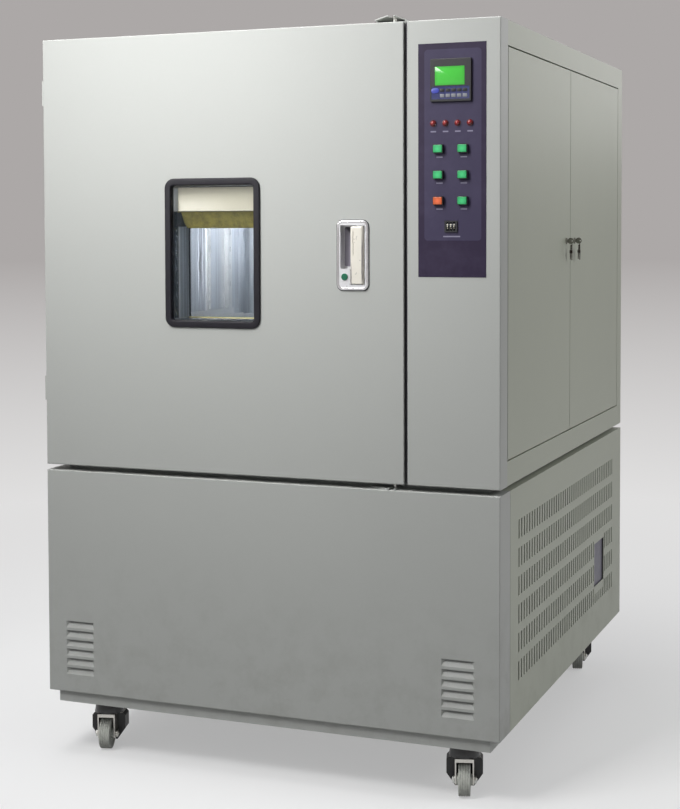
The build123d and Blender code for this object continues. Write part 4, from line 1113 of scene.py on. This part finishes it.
class CHAMBER_OT_keys(bpy.types.Operator):
    """Rings with two keys each that hang in the two side door locks"""

    bl_idname = "chamber.keys"
    bl_label = "Make the hanging keys"

    def execute(self, context):
        for number, (body, y) in enumerate((("front_side_lock", -40.5), ("rear_side_lock", 48.5)), 1):
            let_go()
            bpy.ops.mesh.primitive_torus_add(
                major_segments=28, minor_segments=8, major_radius=5.6 * MM, minor_radius=0.8 * MM,
                location=((KEYS_X - 0.5) * MM, y * MM, 1262.5 * MM), rotation=(0, math.pi / 2, 0))
            Bench(bpy.context.object, "key_ring_%d" % number).settle(body, "lock_brown")
            for side, low in ((-1, 1231.0), (1, 1234.0)):
                tail = "%d_%d" % (number, side + 2)
                middle = y + side * 2.6
                out = KEYS_X + side * 1.4
                bow = Bench.rod("key_bow_" + tail, "x", (middle, 1251.0), 5.6, out - 1, out + 1, 20)
                bow.facing("x").inset(1.4, -0.4).ease(0.3).settle(body, "lock_brown")
                blade = Bench.block("key_blade_" + tail, out - 0.8, out + 0.8, middle - 2.6, middle + 2.6, low, 1247)
                blade.ease(0.4).settle(body, "lock_brown")
        return {"FINISHED"}


class CHAMBER_OT_trims(bpy.types.Operator):
    """Dark strip in the gap beside the door as painted shade, surround and face of the breaker, pale vent backings as
    painted light and screws of the back cover
    """

    bl_idname = "chamber.trims"
    bl_label = "Make the trims"

    def execute(self, context):
        # A black strip that darkens the gap beside the door: painted shade
        dark_strip = Bench.block("door_gap_dark_strip", 362.6, 366.4, -654, -612, UPPER + 3, ROOF - 3)
        dark_strip.facing("-x").inset(0.8, -0.5).ease(0.5).settle("cabinet", "window_rubber")
        self.breaker_surround()
        # Pale sheets just inside the side panels, which lighten the dark of the vent slots: painted light
        low, high = BACKING_Z
        front, back = 300, 434
        backings = ((-560, front, low, high), (back, 648, low, high), (front + 0.4, back - 0.4, 455, high),
                (front + 0.4, back - 0.4, low, 278), (-560, 648, low, high))
        for number, place in enumerate(backings, 1):
            x0, x1 = BACKING_X if number < len(backings) else (-BACKING_X[1], -BACKING_X[0])
            backing = Bench.block("filter_mat_%d" % number, x0, x1, *place)
            backing.facing("x").inset(6).inset(2, -0.4).settle("cabinet", "pale_vent_backing")
        face = Bench.block("breaker_face", 579.4, 580.6, BREAKER_Y[0] + 1, BREAKER_Y[1] - 1,
                           BREAKER_Z[0] + 4, BREAKER_Z[1] - 4)
        face.facing("x").inset(2.0).settle("cabinet", "breaker_case")
        self.cover_screws()
        return {"FINISHED"}

    def breaker_surround(self):
        """A coat-coloured frame that narrows the cut-out to the breaker's height."""
        band = 22.0
        low, high = BREAKER_Y
        middle_y, middle_z = (low + high) / 2, sum(BREAKER_Z) / 2
        cover = Bench.block("breaker_surround", BACKING_X[1], 584.9, *BREAKER_Y, *BREAKER_Z)
        cover.facing("x").inset(band)
        cover.faces(lambda middle, normal: abs(normal.x) > 0.9 and abs(middle.z - middle_z) < 1
                    and abs(middle.y - middle_y) < 1)
        cover.grow(1, (high - low - 1.0) / (high - low - 2 * band), 1, (0, middle_y, 0))
        bpy.ops.mesh.bridge_edge_loops()
        cover.settle("cabinet", "coat_side_painted_tint")

    def cover_screws(self):
        radius = sizes().screw_head / MM / 2
        head = Bench.rod("cover_screw", "y", (SCREW_XS[0], SCREW_ZS[0]), radius, BACK, BACK + 2.6, 24)
        head = head.facing("+y").inset(0.8, 0.7).inset(1.4).inset(0.5, -1.0).settle("cabinet", "zinc")
        places = [(x, z) for x in SCREW_XS for z in SCREW_ZS]
        for number, (x, z) in enumerate(places[1:], 2):
            copy_to(head, "cover_screw_%d" % number, shift(x - SCREW_XS[0], 0, z - SCREW_ZS[0]), "cabinet")


class CHAMBER_OT_switchgear(bpy.types.Operator):
    """Mounting plate, rails, slotted ducts, contactors, terminals and wiring inside the side column"""

    bl_idname = "chamber.switchgear"
    bl_label = "Make the switchgear"

    def execute(self, context):
        plate = Bench.block("mounting_plate", PLATE_X - 4, PLATE_X - 1, -430, 540, 800, 1700)
        plate.facing("+x").inset(12).inset(3, 0.8).ease(0.4).settle("cabinet", "zinc")
        self.ducts()
        rail = Bench.block("rail_1", 371.0, 378.2, -395, 500, 1422, 1457)
        rail = rail.facing("+x").inset(5.5).inset(0.6, -6.0).ease(0.4).settle("cabinet", "zinc")
        copy_to(rail, "rail_2", shift(0, 0, -390), "cabinet")
        box = Bench.block("contactor_1", RAIL_X, 462, -380, -336, 1398, 1481)
        box.facing("+x").inset(8).inset(0.8, 5.0).inset(9).inset(1.0, 4.0)
        row(box.ease(1.2).settle("cabinet", "contactor_grey"), "contactor", 7, CONTACTOR_PITCH)
        block = Bench.block("terminal_1", RAIL_X, 424, -380, -368, 1016, 1066)
        block.facing("+x").inset(2.2).inset(0.8, -3.0)
        row(block.ease(0.5).settle("cabinet", "terminal_cream"), "terminal", 24, TERMINAL_PITCH)
        core = Bench.block("control_transformer", PLATE_X, 452, 120, 214, 900, 985)
        core.facing("z").inset(12).inset(2.0, 14.0).ease(2.0, 3).settle("cabinet", "black_mould", "black_plastic")
        for number in range(6):
            y = -352 + CONTACTOR_PITCH * number
            for side, (low, high) in enumerate(((1276, 1397.6), (1481.4, 1619.6))):
                wire = Bench.rod("wire_%d_%d" % (number + 1, side + 1), "z", (400 + 5 * side, y), 2.1, low, high, 12)
                wire.settle("cabinet", "wire_black" if number % 2 else "wire_red")
        return {"FINISHED"}

    def ducts(self):
        first, pitch, slot = -400, 15, 8
        duct = Bench.block("wire_duct_1", PLATE_X, 421, -410, 520, 1620, 1665)
        for place in range(first, 516, pitch):
            duct.cut("y", place, place + slot)
        duct.faces(lambda middle, normal: abs(normal.z) > 0.9 and (middle.y - first) % pitch < slot
                   and middle.y > first)
        duct.inset(0.6, each=True).grow(0.55, 1, 1, (PLATE_X, 0, 0))
        duct = duct.outward().settle("cabinet", "duct_grey")
        for number, drop in ((2, -390), (3, -770)):
            copy_to(duct, "wire_duct_%d" % number, shift(0, 0, drop), "cabinet")


class CHAMBER_OT_casters(bpy.types.Operator):
    """Ridged tyres on dished hubs and the axle nuts of the four casters"""

    bl_idname = "chamber.casters"
    bl_label = "Make the caster pieces"

    def execute(self, context):
        radius, width = WHEEL
        axle = (-TRAIL, radius)
        grooves = ((2.4, 3.6), (8.0, 9.2))
        wheel = Bench.rod("wheel_tyre", "x", axle, radius, -width / 2, width / 2, 72)
        for place in (1.8, 2.4, 3.6, 4.2, 7.4, 8.0, 9.2, 9.8):
            wheel.cut("x", place, -place)
        wheel.faces(lambda middle, normal: abs(normal.x) < 0.3
                    and any(low < abs(middle.x) < high for low, high in grooves))
        deep = 1 - sizes().tyre_ridge / MM / radius
        wheel.grow(1, deep, deep, (0, *axle))
        wheel.edges(lambda a, b: a.x * b.x > 0 and abs(a.x) > 13.9 and abs(b.x) > 13.9).bevel(2.6, 4)
        wheel.faces(lambda middle, normal: abs(normal.x) > 0.99)
        wheel.inset(5.4).inset(2.0, -2.0).inset(13.4).inset(1.0, 6.2).inset(5.6)
        wheel.faces(lambda middle, normal: abs(normal.x) > 0.99 and abs(middle.x) > 18
                    and abs(middle.y + TRAIL) < 0.01 and abs(middle.z - radius) < 0.01)
        bpy.ops.mesh.bridge_edge_loops()
        to_casters(wheel.settle(None, "tyre"), "wheel_tyre", "wheel", "caster_wheel")
        nut = Bench.rod("axle_nut", "x", axle, 9.0, 22.1, 27.6, 6)
        right = nut.facing("+x").inset(3.6).inset(0.8, 2.2).ease(0.5).settle(None, "zinc")
        left = copy_to(right, "axle_head", Matrix.Rotation(math.pi, 4, "Z") @ shift(0, 2 * TRAIL, 0), "cabinet")
        to_casters(right, "axle_nut", "fork")
        to_casters(left, "axle_head", "fork")
        return {"FINISHED"}


class CHAMBER_OT_stage(bpy.types.Operator):
    """Pale floor, soft studio light and the camera at the photograph's angle"""

    bl_idname = "chamber.stage"
    bl_label = "Set the studio"

    def execute(self, context):
        let_go()
        bpy.ops.mesh.primitive_circle_add(vertices=96, radius=60, fill_type="NGON", location=(0, 0, 0))
        floor = context.object
        floor.name = "floor"
        floor.data.materials.append(self.floor_finish())
        self.world(context.scene)
        self.lamps(context.scene)
        self.camera(context.scene)
        return {"FINISHED"}

    def floor_finish(self):
        """A floor that fades into the backdrop's colour; far off it glows with that colour alone."""
        f = Finish("floor_finish")
        far = (f.x.power(2.0) + f.y.power(2.0)).power(0.5)
        reach = far / (far + 7.0)
        direct = f.seen()
        tone = f.tint(reach.within(0.1, 0.9), tuple(colours().floor), tuple(colours().backdrop))
        surface = f.value("ShaderNodeBsdfPrincipled", sockets={
            "Base Color": f.tint(direct, srgb(150, 150, 150), tone),
            "Roughness": 0.75 + f.noise(3.0) * 0.1,
            "Specular IOR Level": 0.2,
            "Normal": f.relief(f.noise(220.0), 0.0002, 0.2),
        })
        glow = f.value("ShaderNodeEmission", sockets={"Color": tone, "Strength": 1.0})
        amount = (0.44 + reach.within(0.1, 0.34) * 0.56) * direct
        sheet = f.value("ShaderNodeMixShader", sockets={0: amount, 1: surface, 2: glow})
        f.node("ShaderNodeOutputMaterial", sockets={"Surface": sheet})
        return f.material

    def world(self, scene):
        """Soft cool light all round, behind a backdrop that is only seen."""
        world = bpy.data.worlds.new("studio")
        world.use_nodes = True
        f = Nodes(world.node_tree)
        soft = f.value("ShaderNodeBackground", sockets={"Color": (0.93, 0.95, 1.0, 1.0), "Strength": 0.2})
        backdrop = f.value("ShaderNodeBackground", sockets={"Color": (*colours().backdrop, 1.0)})
        sheet = f.value("ShaderNodeMixShader", sockets={0: f.seen(), 1: soft, 2: backdrop})
        f.node("ShaderNodeOutputWorld", sockets={"Surface": sheet})
        scene.world = world
        scene.view_settings.view_transform = "Standard"

    def lamps(self, scene):
        for name, place, aim, size, power, spread in SOFTBOXES:
            light = bpy.data.lights.new(name, "AREA")
            light.shape = "SQUARE"
            light.size = size
            light.energy = power
            light.spread = math.radians(spread)
            lamp = bpy.data.objects.new(name, light)
            lamp.location = place
            look = Vector(aim) - Vector(place)
            lamp.rotation_euler = look.to_track_quat("-Z", "Y").to_euler()
            scene.collection.objects.link(lamp)

    def camera(self, scene):
        yaw, pitch, roll = (math.radians(angle) for angle in CAMERA_TURN)
        turned = Matrix.Rotation(yaw, 4, "Z") @ Matrix.Rotation(math.pi / 2 - pitch, 4, "X")
        turned = turned @ Matrix.Rotation(-roll, 4, "Z")
        data = bpy.data.cameras.new("camera")
        data.sensor_fit = "VERTICAL"
        data.sensor_height = 36.0
        data.lens = CAMERA_LENS
        data.shift_y = CAMERA_SHIFT
        camera = bpy.data.objects.new("camera", data)
        camera.matrix_world = Matrix.Translation(CAMERA_PLACE) @ turned
        scene.collection.objects.link(camera)
        scene.camera = camera


PIECE_OPERATORS = (CHAMBER_OT_finish_nodes, CHAMBER_OT_window, CHAMBER_OT_controller, CHAMBER_OT_latch,
                   CHAMBER_OT_keys, CHAMBER_OT_trims, CHAMBER_OT_switchgear, CHAMBER_OT_casters,
                   CHAMBER_OT_stage)


class CHAMBER_PT_panel(bpy.types.Panel):
    """Lists the chamber's operators, colours and sizes"""

    bl_idname = "CHAMBER_PT_panel"
    bl_label = "Test chamber"
    bl_space_type = "VIEW_3D"
    bl_region_type = "UI"
    bl_category = "Chamber"

    def draw(self, context):
        for operator in PIECE_OPERATORS:
            self.layout.operator(operator.bl_idname)
        for group in (context.scene.chamber_colours, context.scene.chamber_sizes):
            for name in group.__annotations__:
                self.layout.prop(group, name)


CLASSES = (ChamberColours, ChamberSizes, *PIECE_OPERATORS, CHAMBER_PT_panel)


def register():
    for made in CLASSES:
        bpy.utils.register_class(made)
    bpy.types.Scene.chamber_colours = bpy.props.PointerProperty(type=ChamberColours)
    bpy.types.Scene.chamber_sizes = bpy.props.PointerProperty(type=ChamberSizes)


def unregister():
    del bpy.types.Scene.chamber_sizes
    del bpy.types.Scene.chamber_colours
    for made in reversed(CLASSES):
        bpy.utils.unregister_class(made)


def main():
    register()
    for operator in PIECE_OPERATORS:
        group, action = operator.bl_idname.split(".")
        getattr(getattr(bpy.ops, group), action)()
    let_go()


if __name__ == "__main__":
    main()
